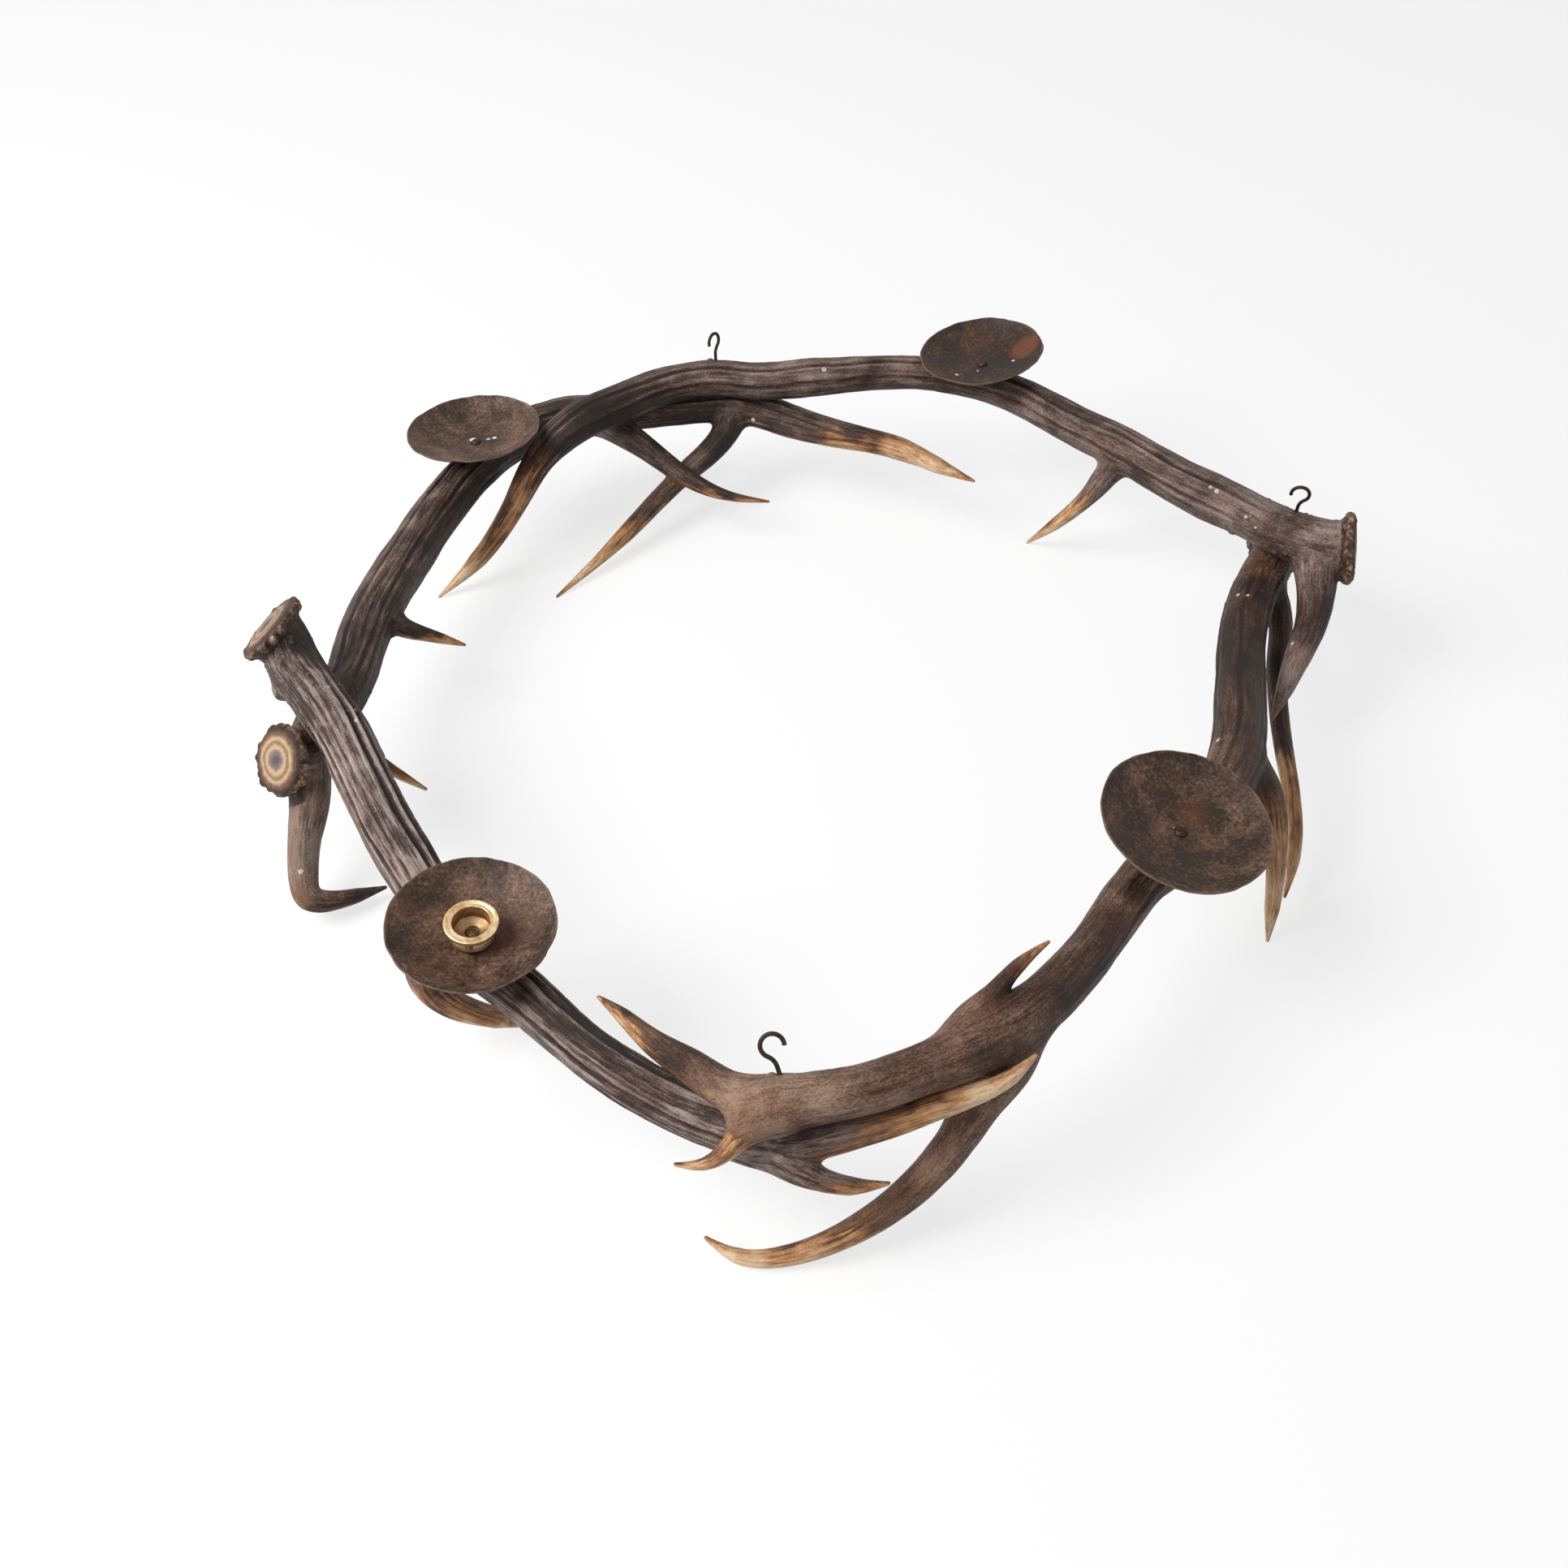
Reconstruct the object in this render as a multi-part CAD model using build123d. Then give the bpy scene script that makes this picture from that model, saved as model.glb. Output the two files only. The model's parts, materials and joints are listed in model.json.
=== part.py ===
"""Antler ring chandelier: four shed red deer antlers screwed together at four crossings.

Millimetres, +Z up, the ring lying on its tine tips at z = 0, its middle over the origin.
X runs to the right and Y to the back. Every antler is a beam with its tines, a coronet
(the knobbly rim of its sawn burr), flat notches where it sits on its neighbours, and
planed seats and drilled holes for what is screwed to it.
"""

from build123d import *
from bisect import bisect_right
import math
import os

# ------------------------------------------------------------------ overall sizes
RING_WIDTH = 800.0  # along X, at which the stations below are true
RING_DEPTH = 800.0  # along Y
DRAWN_WIDTH = 800.0
DRAWN_DEPTH = 800.0
MIDDLE_X = 7.0  # where the stations below have the middle of the ring
MIDDLE_Y = 2.0
GIRTH = 1.0  # every antler's thickness, against the stations' own

# ------------------------------------------------------------------ crossings
NOTCH = 2.0  # how deep each antler is notched where two of them cross
NOTCH_SHOULDER = 2.5  # air between a notch's shoulder and the antler lying in it
NOTCH_LENGTH = 120.0  # of the block that cuts one; long enough for the slantest crossing

# ------------------------------------------------------------------ coronets
CORONET_HEIGHT = 9.0
CORONET_RISE = 1.5  # doming of the sawn face
CORONET_BEAD = 2.5  # how far the rounded rim stands out past the sawn face

# ------------------------------------------------------------------ drip pans
PAN_DEPTH = 15.0  # from the rim's plane to the underside
PAN_SHEET = 1.4
PAN_BOSS_MARGIN = 0.5  # flat middle of a pan, past the socket's wall
PAN_SEAT = 2.0  # how far the top of an antler is planed down under a pan
PAN_SEAT_MARGIN = 2.5  # air round the collar in its planed seat
FOOT = 16.0  # collar between pan and antler
FOOT_HEIGHT = 4.0

# ------------------------------------------------------------------ candle socket
SOCKET_BORE = 22.0
SOCKET_WALL = 1.5
SOCKET_FLARE = 3.5  # how far the lip stands out past the wall
SOCKET_LIP_HEIGHT = 3.2
SOCKET_EDGE = 0.8  # rounding of the lip's edges
SOCKET_COVE = 2.0  # height of the curve from the wall out to the lip
SOCKET_CHAMFER = 1.0  # at the mouth of the bore
SOCKET_HEIGHT = 15.0
SOCKET_FLOOR = 5.0

# ------------------------------------------------------------------ screws
SCREW = 4.0
SCREW_HEAD = 8.0
SCREW_HEAD_HEIGHT = 2.6
SCREW_SLOT = 1.0
SCREW_SLOT_DEPTH = 0.8
SCREW_FIT = 0.3  # hole over screw, on the diameter
SCREW_END = 1.0  # air beyond a screw's or a hook's point
HEAD_SINK = 0.4  # how far a screw's head lies below the floor of the candle socket
MOUTH = 6.0  # how far a hole's cutter stands out of the antler
PAN_SCREW_BITE = 17.0  # screw length inside the antler
JOINT_SCREW_BITE = 12.0  # screw length inside the upper antler
JOINT_SCREW_SINK = 5.0  # depth of a joint screw's head below the lower antler's skin
JOINT_SCREW_PITCH = 16.0  # between the two screws of a crossing

# ------------------------------------------------------------------ suspension hooks
HOOK_WIRE = 2.6
HOOK_BOWL = 6.5  # radius of the bowl, to the middle of the wire
HOOK_HEIGHT = 17.0  # bowl's centre over the antler
HOOK_OFFSET = 1.0  # bowl's centre beside the stem
HOOK_SWING = 50.0  # how far the stem swings out before the bowl, degrees
HOOK_TURN = 245.0  # arc of the bowl, degrees
HOOK_BITE = 15.0  # stem length inside the antler
HOOK_FIT = 0.3

TIP = 2.4  # blunt end of every tine
ROUND_SPACING = 14.0  # between the rounds that an antler is lofted through


def place(x, y, z, girth):
    """A station: a place on an antler's middle line and the antler's diameter there."""
    across = (x - MIDDLE_X) * RING_WIDTH / DRAWN_WIDTH
    back = (y - MIDDLE_Y) * RING_DEPTH / DRAWN_DEPTH
    return (across, back, z, girth * GIRTH)


def above(crossing):
    """The station of the antler that lies on top at a crossing."""
    x, y, seat, girth, _ = crossing
    return place(x, y, seat + girth * GIRTH / 2 - NOTCH, girth)


def below(crossing):
    """The station of the antler that lies underneath at a crossing."""
    x, y, seat, _, girth = crossing
    return place(x, y, seat - girth * GIRTH / 2 + NOTCH, girth)


# Each crossing: x, y, the height of the flat faces that meet there, and the diameters
# of the upper and the lower antler.
LEFT = (-340, -28, 93, 36, 35)
RIGHT = (347, 152, 92, 36, 34)
BACK = (-100, 366, 91, 31, 28)
FRONT = (-40, -362, 96, 28, 27)

# The stations that carry a drip pan.
FRONT_LEFT_PAN = place(-203, -248, 96, 32)
FRONT_RIGHT_PAN = place(219, -165, 95, 35)
BACK_RIGHT_PAN = place(141, 352, 111, 28.5)
BACK_LEFT_PAN = place(-270, 278, 81, 35)

# The stations where a suspension hook is screwed in.
BACK_HOOK = place(-80, 367, 106, 30)
RIGHT_HOOK = place(357, 143, 109, 36.5)
FRONT_HOOK = place(-25, -359, 110, 30)

# ------------------------------------------------------------------ front left antler
FRONT_LEFT_BEAM = [
    place(-369, 8, 132, 38),
    place(-363, 3, 124, 36),
    place(-356, -7, 115, 35),
    above(LEFT),
    place(-313, -69, 107, 36),
    place(-289, -114, 105, 34),
    place(-269, -151, 102, 34.5),
    place(-240, -198, 99, 34),
    FRONT_LEFT_PAN,
    place(-178, -270, 95, 30),
    place(-141, -304, 91, 28),
    place(-102, -333, 88, 28),
    place(-68, -350, 84, 29),
    below(FRONT),
]
FRONT_LEFT_TINES = {
    "sawn brow": [
        place(-351, -12, 113, 28),
        place(-359, -12, 105, 25),
        place(-367, -12, 97, 20),
    ],
    "middle": [
        place(-226, -220, 92, 24),
        place(-241, -230, 74, 22),
        place(-237, -238, 53, 18),
        place(-221, -240, 35, 14),
        place(-202, -236, 21, 10.5),
        place(-187, -231, 8, TIP),
    ],
    "upper crown": [
        place(-46, -361, 84, 24),
        place(-19, -368, 81, 16),
        place(7, -365, 84, 16),
        place(36, -358, 88, 14.5),
        place(62, -351, 93, 12.5),
        place(84, -344, 97, 10),
        place(102, -336, 103, 6.5),
        place(115, -326, 108, TIP),
    ],
    "lower crown": [
        place(-46, -361, 82, 24),
        place(-17, -376, 75, 15),
        place(-4, -380, 70, 10),
        place(12, -382, 66, 8),
        place(34, -378, 62, TIP),
    ],
}

# ------------------------------------------------------------------ front right antler
FRONT_RIGHT_BEAM = [
    place(364, 187, 69, 39),
    place(357, 172, 72, 36),
    below(RIGHT),
    place(337, 134, 77, 34),
    place(317, 91, 78, 34),
    place(301, 33, 80, 34),
    place(289, -24, 84, 35),
    place(273, -81, 89, 37),
    place(248, -126, 92, 36),
    FRONT_RIGHT_PAN,
    place(198, -187, 98, 31),
    place(158, -246, 103, 29),
    place(122, -290, 107, 31),
    place(83, -322, 110, 32),
    place(51, -338, 111, 28),
    place(18, -351, 111, 27),
    FRONT_HOOK,
    above(FRONT),
]
FRONT_RIGHT_TINES = {
    "inner crown": [
        place(-24, -358, 109, 28),
        place(-53, -351, 110, 22),
        place(-74, -337, 113, 19),
        place(-94, -325, 118, 14),
        place(-111, -311, 123, 9),
        place(-125, -301, 127, TIP),
    ],
    "outer crown": [
        place(-28, -360, 109, 26),
        place(-44, -373, 104, 15),
        place(-53, -380, 98, 11),
        place(-65, -384, 91, 7),
        place(-81, -382, 87, TIP),
    ],
    "small": [
        place(77, -320, 111, 26),
        place(73, -310, 117, 20),
        place(88, -293, 122, 16),
        place(106, -279, 127, 11),
        place(126, -265, 131, TIP),
    ],
    "long": [
        place(112, -300, 106, 30),
        place(101, -319, 90, 31),
        place(86, -333, 74, 27),
        place(73, -348, 58, 22),
        place(53, -364, 40, 20),
        place(33, -375, 28, 17.5),
        place(7, -385, 16, 14.5),
        place(-23, -391, 7, 12),
        place(-49, -391, 7.5, 9),
        place(-67, -384, 15, TIP),
    ],
    "brow": [
        place(338, 134, 76, 26),
        place(349, 114, 61, 19),
        place(344, 80, 50, 16),
        place(336, 36, 42, 14.5),
        place(332, -21, 33, 13),
        place(330, -67, 24, 11),
        place(324, -98, 17, 9),
        place(314, -125, 10, TIP),
    ],
    "bez": [
        place(280, -72, 88, 26),
        place(297, -87, 72, 20),
        place(302, -105, 56, 17),
        place(303, -123, 36, 13),
        place(301, -141, 16, 10),
        place(298, -156, TIP / 2, TIP),
    ],
}

# ------------------------------------------------------------------ back right antler
BACK_RIGHT_BEAM = [
    place(392, 126, 111, 40),
    place(381, 130, 109, 39),
    RIGHT_HOOK,
    above(RIGHT),
    place(331, 166, 109, 35),
    place(302, 195, 109, 36),
    place(274, 224, 109, 34.5),
    place(246, 255, 110, 33),
    place(208, 292, 111, 31),
    place(170, 332, 111, 30),
    BACK_RIGHT_PAN,
    place(82, 368, 111, 27),
    place(27, 366, 110, 29),
    place(0, 363, 109, 32),
    place(-28, 362, 107, 30),
    place(-52, 364, 105.5, 29),
    BACK_HOOK,
    above(BACK),
    place(-130, 352, 105, 30),
    place(-158, 329, 106, 31),
    place(-185, 306, 106, 32),
    place(-204, 290, 100, 29),
    place(-220, 279, 87, 24),
    place(-241, 262, 56, 19),
    place(-272, 229, 23, 14),
    place(-304, 207, TIP / 2, TIP),
]
BACK_RIGHT_TINES = {
    "small": [
        place(246, 254, 108, 28),
        place(234, 251, 90, 20),
        place(223, 261, 60, 14.5),
        place(202, 267, 30, 10),
        place(183, 280, TIP / 2, TIP),
    ],
    "brow": [
        place(370, 131, 104, 36),
        place(369, 108, 92, 29),
        place(363, 83, 80, 24),
        place(350, 56, 70, 20),
        place(336, 29, 60, 13),
        place(324, 6, 50, TIP),
    ],
}

# ------------------------------------------------------------------ back left antler
BACK_LEFT_BEAM = [
    place(-353, -77, 91, 36),
    place(-346, -62, 82, 34),
    place(-342, -45, 78, 34),
    below(LEFT),
    place(-331, 10, 76, 34),
    place(-328, 58, 77, 36),
    place(-321, 110, 78, 37),
    place(-307, 165, 80, 36),
    place(-289, 230, 81, 35),
    BACK_LEFT_PAN,
    place(-238, 328, 79, 36),
    place(-206, 352, 77, 35),
    place(-160, 361, 77, 31),
    below(BACK),
    place(-64, 370, 77, 29),
    place(-27, 357, 75, 29),
    place(14, 336, 74, 24),
    place(47, 325, 73, 20),
    place(74, 315, 71, 19),
    place(104, 297, 67, 13),
    place(133, 282, 62, TIP),
]
BACK_LEFT_TINES = {
    "second crown": [
        place(-65, 370, 75, 29),
        place(-75, 347, 62, 22),
        place(-103, 322, 46, 17),
        place(-155, 268, 19, 12),
        place(-208, 207, TIP / 2, TIP),
    ],
    "third crown": [
        place(-178, 352, 76, 28),
        place(-139, 324, 66, 20),
        place(-101, 301, 50, 15),
        place(-72, 288, 44, 9),
        place(-36, 287, 38, TIP),
    ],
    "small": [
        place(-321, 102, 78, 24),
        place(-303, 83, 72, 15),
        place(-290, 83, 66, 11),
        place(-276, 84, 60, 8),
        place(-260, 84, 54, TIP),
    ],
    "brow": [
        place(-343, -64, 84, 32),
        place(-339, -83, 68, 28),
        place(-342, -105, 48, 22),
        place(-343, -122, 31, 20),
        place(-338, -135, 20, 18),
        place(-323, -133, 15, 13),
        place(-310, -126, 12, 10),
        place(-293, -115, 8, TIP),
    ],
    "bez": [
        place(-339, -19, 76, 24),
        place(-323, -28, 66, 17),
        place(-304, -41, 57, 10),
        place(-286, -50, 50, 7),
        place(-269, -57, 44, TIP),
    ],
}

# Which way each sawn burr face looks.
FRONT_LEFT_BURR = (-0.68, 0.12, 0.72)
FRONT_RIGHT_BURR = (0.40, 0.90, -0.15)
BACK_RIGHT_BURR = (0.95, -0.25, 0.19)
BACK_LEFT_BURR = (-0.58, -0.59, 0.57)

# Across the knobbly rim of each burr.
FRONT_LEFT_CORONET = 52.0
FRONT_RIGHT_CORONET = 52.0
BACK_RIGHT_CORONET = 52.0
BACK_LEFT_CORONET = 48.0


def girth_at(run, marks, along):
    """An antler's diameter between two of its stations."""
    i = min(bisect_right(marks, along), len(marks) - 1)
    share = (along - marks[i - 1]) / (marks[i] - marks[i - 1])
    return run[i - 1][3] + (run[i][3] - run[i - 1][3]) * share


def grown(run):
    """The smooth tapering solid of a beam or a tine, through evenly spaced rounds."""
    middles = [Vector(*station[:3]) for station in run]
    path = Edge.make_spline(middles)
    marks = [path.param_at_point(middle) for middle in middles]
    count = max(6, round(path.length / ROUND_SPACING))
    side = Plane(origin=middles[0], z_dir=path % 0).x_dir
    rounds = []
    for i in range(count + 1):
        along = i / count
        facing = path % along
        side = (side - facing * side.dot(facing)).normalized()
        plane = Plane(origin=path @ along, x_dir=side, z_dir=facing)
        rounds.append(plane * Circle(girth_at(run, marks, along) / 2))
    return loft(rounds)


def coronet(beam, facing, across):
    """The knobbly rim and domed sawn face of a burr; the beam ends in its middle."""
    neck = beam[0][3] / 2
    rim = across * GIRTH / 2
    edge = rim - CORONET_BEAD
    flank = -CORONET_HEIGHT * 0.55
    dome = (edge**2 + CORONET_RISE**2) / (2 * CORONET_RISE)
    with BuildSketch(Plane.XZ) as profile:
        with BuildLine():
            Line((0, CORONET_RISE), (0, -CORONET_HEIGHT))
            Line((0, -CORONET_HEIGHT), (neck * 0.75, -CORONET_HEIGHT))
            Line((neck * 0.75, -CORONET_HEIGHT), (edge, flank))
            ThreePointArc((edge, flank), (rim, flank / 2), (edge, 0))
            RadiusArc((edge, 0), (0, CORONET_RISE), -dome)
        make_face()
    turned = revolve(profile.sketch, Axis.Z)
    face = Vector(*beam[0][:3]) + Vector(*facing).normalized() * CORONET_HEIGHT / 2
    return Plane(origin=face, z_dir=facing) * turned


def antler(beam, tines, facing, across):
    """A whole antler before it is notched, planed and drilled."""
    whole = grown(beam) + coronet(beam, facing, across)
    for tine in tines.values():
        whole = whole + grown(tine)
    return whole


def heading(beam, crossing):
    """The level direction in which a beam runs over a crossing, degrees from +X."""
    spot = Vector(*place(*crossing[:3], 0)[:2])
    far = [(Vector(*station[:2]) - spot).length for station in beam]
    here = far.index(min(far))
    ahead = min(here + 1, len(beam) - 1)
    run = Vector(*beam[ahead][:2]) - Vector(*beam[here - 1][:2])
    return math.degrees(math.atan2(run.Y, run.X))


def notched_width(girth):
    """How wide the flat is on an antler of this diameter, with air at its shoulders."""
    radius = girth * GIRTH / 2
    return 2 * math.sqrt(radius**2 - (radius - 2 * NOTCH) ** 2) + 2 * NOTCH_SHOULDER


def notch(crossing, along, width, side):
    """The block cut away above (side 1) or below (side -1) a crossing's flat faces."""
    x, y, seat, _ = place(*crossing[:3], 0)
    height = 4 * NOTCH
    block = Box(NOTCH_LENGTH, width, height)
    return Pos(x, y, seat + side * height / 2) * Rot(0, 0, along) * block


def bored(across, depth):
    """A hole downwards from z = 0, its mouth a little open above."""
    return Pos(0, 0, (MOUTH - depth) / 2) * Cylinder(across / 2, depth + MOUTH)


# ------------------------------------------------------------------ what is screwed on
def screw(length):
    """A round-headed wood screw, its head's underside at z = 0 and its point downwards."""
    head = revolve(
        Plane.XZ
        * make_face(
            [
                Edge.make_line((0, 0), (SCREW_HEAD / 2, 0)),
                Edge.make_three_point_arc(
                    (SCREW_HEAD / 2, 0),
                    (SCREW_HEAD * 0.33, SCREW_HEAD_HEIGHT * 0.72),
                    (0, SCREW_HEAD_HEIGHT),
                ),
                Edge.make_line((0, SCREW_HEAD_HEIGHT), (0, 0)),
            ]
        ),
        Axis.Z,
    )
    shank = Pos(0, 0, -length / 2) * Cylinder(SCREW / 2, length)
    point = Pos(0, 0, -length - SCREW / 2) * Cone(SCREW * 0.1, SCREW / 2, SCREW)
    slot = Pos(0, 0, SCREW_HEAD_HEIGHT) * Box(SCREW_HEAD, SCREW_SLOT, 2 * SCREW_SLOT_DEPTH)
    return head + shank + point - slot


def drip_pan(across):
    """A shallow dish beaten from sheet iron, its underside's middle at z = 0."""
    rim = across / 2
    boss = SOCKET_BORE / 2 + SOCKET_WALL + PAN_BOSS_MARGIN
    with BuildSketch(Plane.XZ) as profile:
        with BuildLine():
            Line((0, PAN_SHEET), (0, 0))
            Line((0, 0), (boss, 0))
            ThreePointArc((boss, 0), (rim * 0.66, PAN_DEPTH * 0.34), (rim, PAN_DEPTH))
            Line((rim, PAN_DEPTH), (rim - PAN_SHEET, PAN_DEPTH))
            ThreePointArc(
                (rim - PAN_SHEET, PAN_DEPTH),
                (rim * 0.66 - PAN_SHEET * 0.4, PAN_DEPTH * 0.34 + PAN_SHEET * 0.9),
                (boss, PAN_SHEET),
            )
            Line((boss, PAN_SHEET), (0, PAN_SHEET))
        make_face()
    dish = revolve(profile.sketch, Axis.Z)
    hole = Cylinder((SCREW + SCREW_FIT) / 2, PAN_DEPTH)
    return dish - hole


def foot():
    """The iron collar that lifts a pan off its antler, its underside at z = 0."""
    collar = Pos(0, 0, FOOT_HEIGHT / 2) * Cylinder(FOOT / 2, FOOT_HEIGHT)
    return collar - Cylinder((SCREW + SCREW_FIT) / 2, 4 * FOOT_HEIGHT)


def socket_web():
    """How much brass is left under the sunk head of the screw in the socket's floor."""
    return SOCKET_FLOOR - SCREW_HEAD_HEIGHT - HEAD_SINK


def candle_socket():
    """The brass cup that holds the candle, its underside at z = 0."""
    bore = SOCKET_BORE / 2
    wall = bore + SOCKET_WALL
    lip = wall + SOCKET_FLARE
    edge = lip - SOCKET_EDGE
    shoulder = SOCKET_HEIGHT - SOCKET_LIP_HEIGHT
    cove = shoulder - SOCKET_COVE
    hollow = (wall + SOCKET_FLARE * 0.25, shoulder - SOCKET_COVE * 0.25)
    with BuildSketch(Plane.XZ) as profile:
        with BuildLine():
            Line((0, 0), (wall, 0))
            Line((wall, 0), (wall, cove))
            ThreePointArc((wall, cove), hollow, (edge, shoulder))
            ThreePointArc(
                (edge, shoulder),
                (lip, (shoulder + SOCKET_HEIGHT) / 2),
                (edge, SOCKET_HEIGHT),
            )
            Line((edge, SOCKET_HEIGHT), (bore + SOCKET_CHAMFER, SOCKET_HEIGHT))
            Line(
                (bore + SOCKET_CHAMFER, SOCKET_HEIGHT),
                (bore, SOCKET_HEIGHT - SOCKET_CHAMFER),
            )
            Line((bore, SOCKET_HEIGHT - SOCKET_CHAMFER), (bore, SOCKET_FLOOR))
            Line((bore, SOCKET_FLOOR), (0, SOCKET_FLOOR))
            Line((0, SOCKET_FLOOR), (0, 0))
        make_face()
    cup = revolve(profile.sketch, Axis.Z)
    sunk = Cylinder(SCREW_HEAD / 2 + SCREW_FIT, 2 * SOCKET_FLOOR)
    cup -= Pos(0, 0, socket_web() + SOCKET_FLOOR) * sunk
    return cup - Cylinder((SCREW + SCREW_FIT) / 2, 4 * SOCKET_FLOOR)


def hook():
    """A screw hook of bent wire in its own XZ plane; the antler's skin is at z = 0."""
    swing = math.radians(HOOK_SWING)
    start = math.radians(180 + HOOK_SWING)
    bowl_x = HOOK_OFFSET + HOOK_BOWL * math.cos(start)
    bowl_z = HOOK_HEIGHT + HOOK_BOWL * math.sin(start)
    bend = -bowl_x / (1 - math.cos(swing))
    knee = bowl_z - bend * math.sin(swing)
    with BuildLine(Plane.XZ) as path:
        stem = Line((0, -HOOK_BITE), (0, knee))
        out = JernArc(start=stem @ 1, tangent=(0, 1), radius=bend, arc_size=HOOK_SWING)
        JernArc(start=out @ 1, tangent=out % 1, radius=HOOK_BOWL, arc_size=-HOOK_TURN)
    section = Plane(origin=(0, 0, -HOOK_BITE), z_dir=(0, 0, 1)) * Circle(HOOK_WIRE / 2)
    return sweep(section, path=path.wire())


def pan_place(station, lean_right, lean_front):
    """Where a pan's foot stands on its antler, leaning by so many degrees."""
    x, y, z, girth = station
    return Pos(x, y, z + girth / 2 - PAN_SEAT) * Rot(lean_front, lean_right, 0)


def hook_place(station, back, turn, lean_back, lean_right):
    """Where a hook enters an antler: back, in degrees, is how far behind the ridge."""
    x, y, z, girth = station
    radius = girth / 2
    angle = math.radians(back)
    spot = Pos(x, y + radius * math.sin(angle), z + radius * math.cos(angle))
    return spot * Rot(-lean_back, lean_right, 0) * Rot(0, 0, turn)


def joint_places(crossing, along):
    """Where the two screws of a crossing pass its flat faces."""
    x, y, seat, _ = place(*crossing[:3], 0)
    middle = Pos(x, y, seat) * Rot(0, 0, along)
    half = JOINT_SCREW_PITCH / 2
    return [middle * Pos(-half, 0, 0), middle * Pos(half, 0, 0)]


def joint_bearing(crossing):
    """How far below the flat faces a joint screw's head bears on the lower antler."""
    return crossing[4] * GIRTH - NOTCH - JOINT_SCREW_SINK


PANS = {
    "back_left": (106.0, pan_place(BACK_LEFT_PAN, -2.5, -4.0)),
    "back_right": (100.0, pan_place(BACK_RIGHT_PAN, -8.0, 0.0)),
    "front_right": (108.0, pan_place(FRONT_RIGHT_PAN, 8.0, 7.0)),
    "front_left": (98.0, pan_place(FRONT_LEFT_PAN, 3.5, 3.0)),
}
SOCKET_PAN = "front_left"

# Each hook: the antler it is screwed into, and its place there.
HOOKS = {
    "back": ("back_right", hook_place(BACK_HOOK, 22, 235, 7, -2)),
    "right": ("back_right", hook_place(RIGHT_HOOK, 35, 165, -6, 0)),
    "front": ("front_right", hook_place(FRONT_HOOK, 42, 0, 38, -18)),
}

# Each crossing: the upper antler with its beam, the lower antler with its beam.
JOINTS = {
    "left": (LEFT, "front_left", FRONT_LEFT_BEAM, "back_left", BACK_LEFT_BEAM),
    "right": (RIGHT, "back_right", BACK_RIGHT_BEAM, "front_right", FRONT_RIGHT_BEAM),
    "back": (BACK, "back_right", BACK_RIGHT_BEAM, "back_left", BACK_LEFT_BEAM),
    "front": (FRONT, "front_right", FRONT_RIGHT_BEAM, "front_left", FRONT_LEFT_BEAM),
}

# ------------------------------------------------------------------ the four antlers
antlers = {
    "front_left": antler(FRONT_LEFT_BEAM, FRONT_LEFT_TINES, FRONT_LEFT_BURR, FRONT_LEFT_CORONET),
    "front_right": antler(FRONT_RIGHT_BEAM, FRONT_RIGHT_TINES, FRONT_RIGHT_BURR, FRONT_RIGHT_CORONET),
    "back_right": antler(BACK_RIGHT_BEAM, BACK_RIGHT_TINES, BACK_RIGHT_BURR, BACK_RIGHT_CORONET),
    "back_left": antler(BACK_LEFT_BEAM, BACK_LEFT_TINES, BACK_LEFT_BURR, BACK_LEFT_CORONET),
}
parts = {}
screw_hole = SCREW + SCREW_FIT

for name, (crossing, upper, upper_beam, lower, lower_beam) in JOINTS.items():
    over = heading(upper_beam, crossing)
    under = heading(lower_beam, crossing)
    antlers[upper] -= notch(crossing, under, notched_width(crossing[4]), -1)
    antlers[lower] -= notch(crossing, over, notched_width(crossing[3]), 1)
    bearing = joint_bearing(crossing)
    blind = JOINT_SCREW_BITE + SCREW + SCREW_END
    screws = []
    for spot in joint_places(crossing, under):
        upwards = spot * Rot(180, 0, 0)
        antlers[upper] -= upwards * bored(screw_hole, blind)
        antlers[lower] -= upwards * Pos(0, 0, bearing) * bored(screw_hole, bearing)
        recess = Cylinder(SCREW_HEAD / 2 + SCREW_FIT, 3 * JOINT_SCREW_SINK)
        antlers[lower] -= upwards * Pos(0, 0, bearing + 1.5 * JOINT_SCREW_SINK) * recess
        screws.append(upwards * Pos(0, 0, bearing) * screw(bearing + JOINT_SCREW_BITE))
    parts[f"joint_screws_{name}"] = Compound(screws)

for name, (across, spot) in PANS.items():
    seat = Cylinder(FOOT / 2 + PAN_SEAT_MARGIN, 2 * MOUTH)
    antlers[name] -= spot * Pos(0, 0, MOUTH) * seat
    antlers[name] -= spot * bored(screw_hole, PAN_SCREW_BITE + SCREW + SCREW_END)
    parts[f"pan_foot_{name}"] = spot * foot()
    parts[f"drip_pan_{name}"] = spot * Pos(0, 0, FOOT_HEIGHT) * drip_pan(across)
    stack = FOOT_HEIGHT + PAN_SHEET
    if name == SOCKET_PAN:
        parts["candle_socket"] = spot * Pos(0, 0, stack) * candle_socket()
        stack += socket_web()
    parts[f"pan_screw_{name}"] = spot * Pos(0, 0, stack) * screw(stack + PAN_SCREW_BITE)

for name, (holder, spot) in HOOKS.items():
    antlers[holder] -= spot * bored(HOOK_WIRE + HOOK_FIT, HOOK_BITE + SCREW_END)
    parts[f"hook_{name}"] = spot * hook()

for name, shape in antlers.items():
    parts[f"antler_{name}"] = shape

os.makedirs("parts", exist_ok=True)
for name, shape in parts.items():
    export_step(shape, f"parts/{name}.step")
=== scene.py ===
"""Antler ring chandelier, as it looks: four shed antlers screwed into a ring, four beaten
iron drip pans, a brass candle socket and three wire hooks.

Stations are written in millimetres, as a maker would measure them on the ring lying on
its tine tips; everything in the scene itself is in metres, +Z up.
"""

import json
import math

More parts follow.
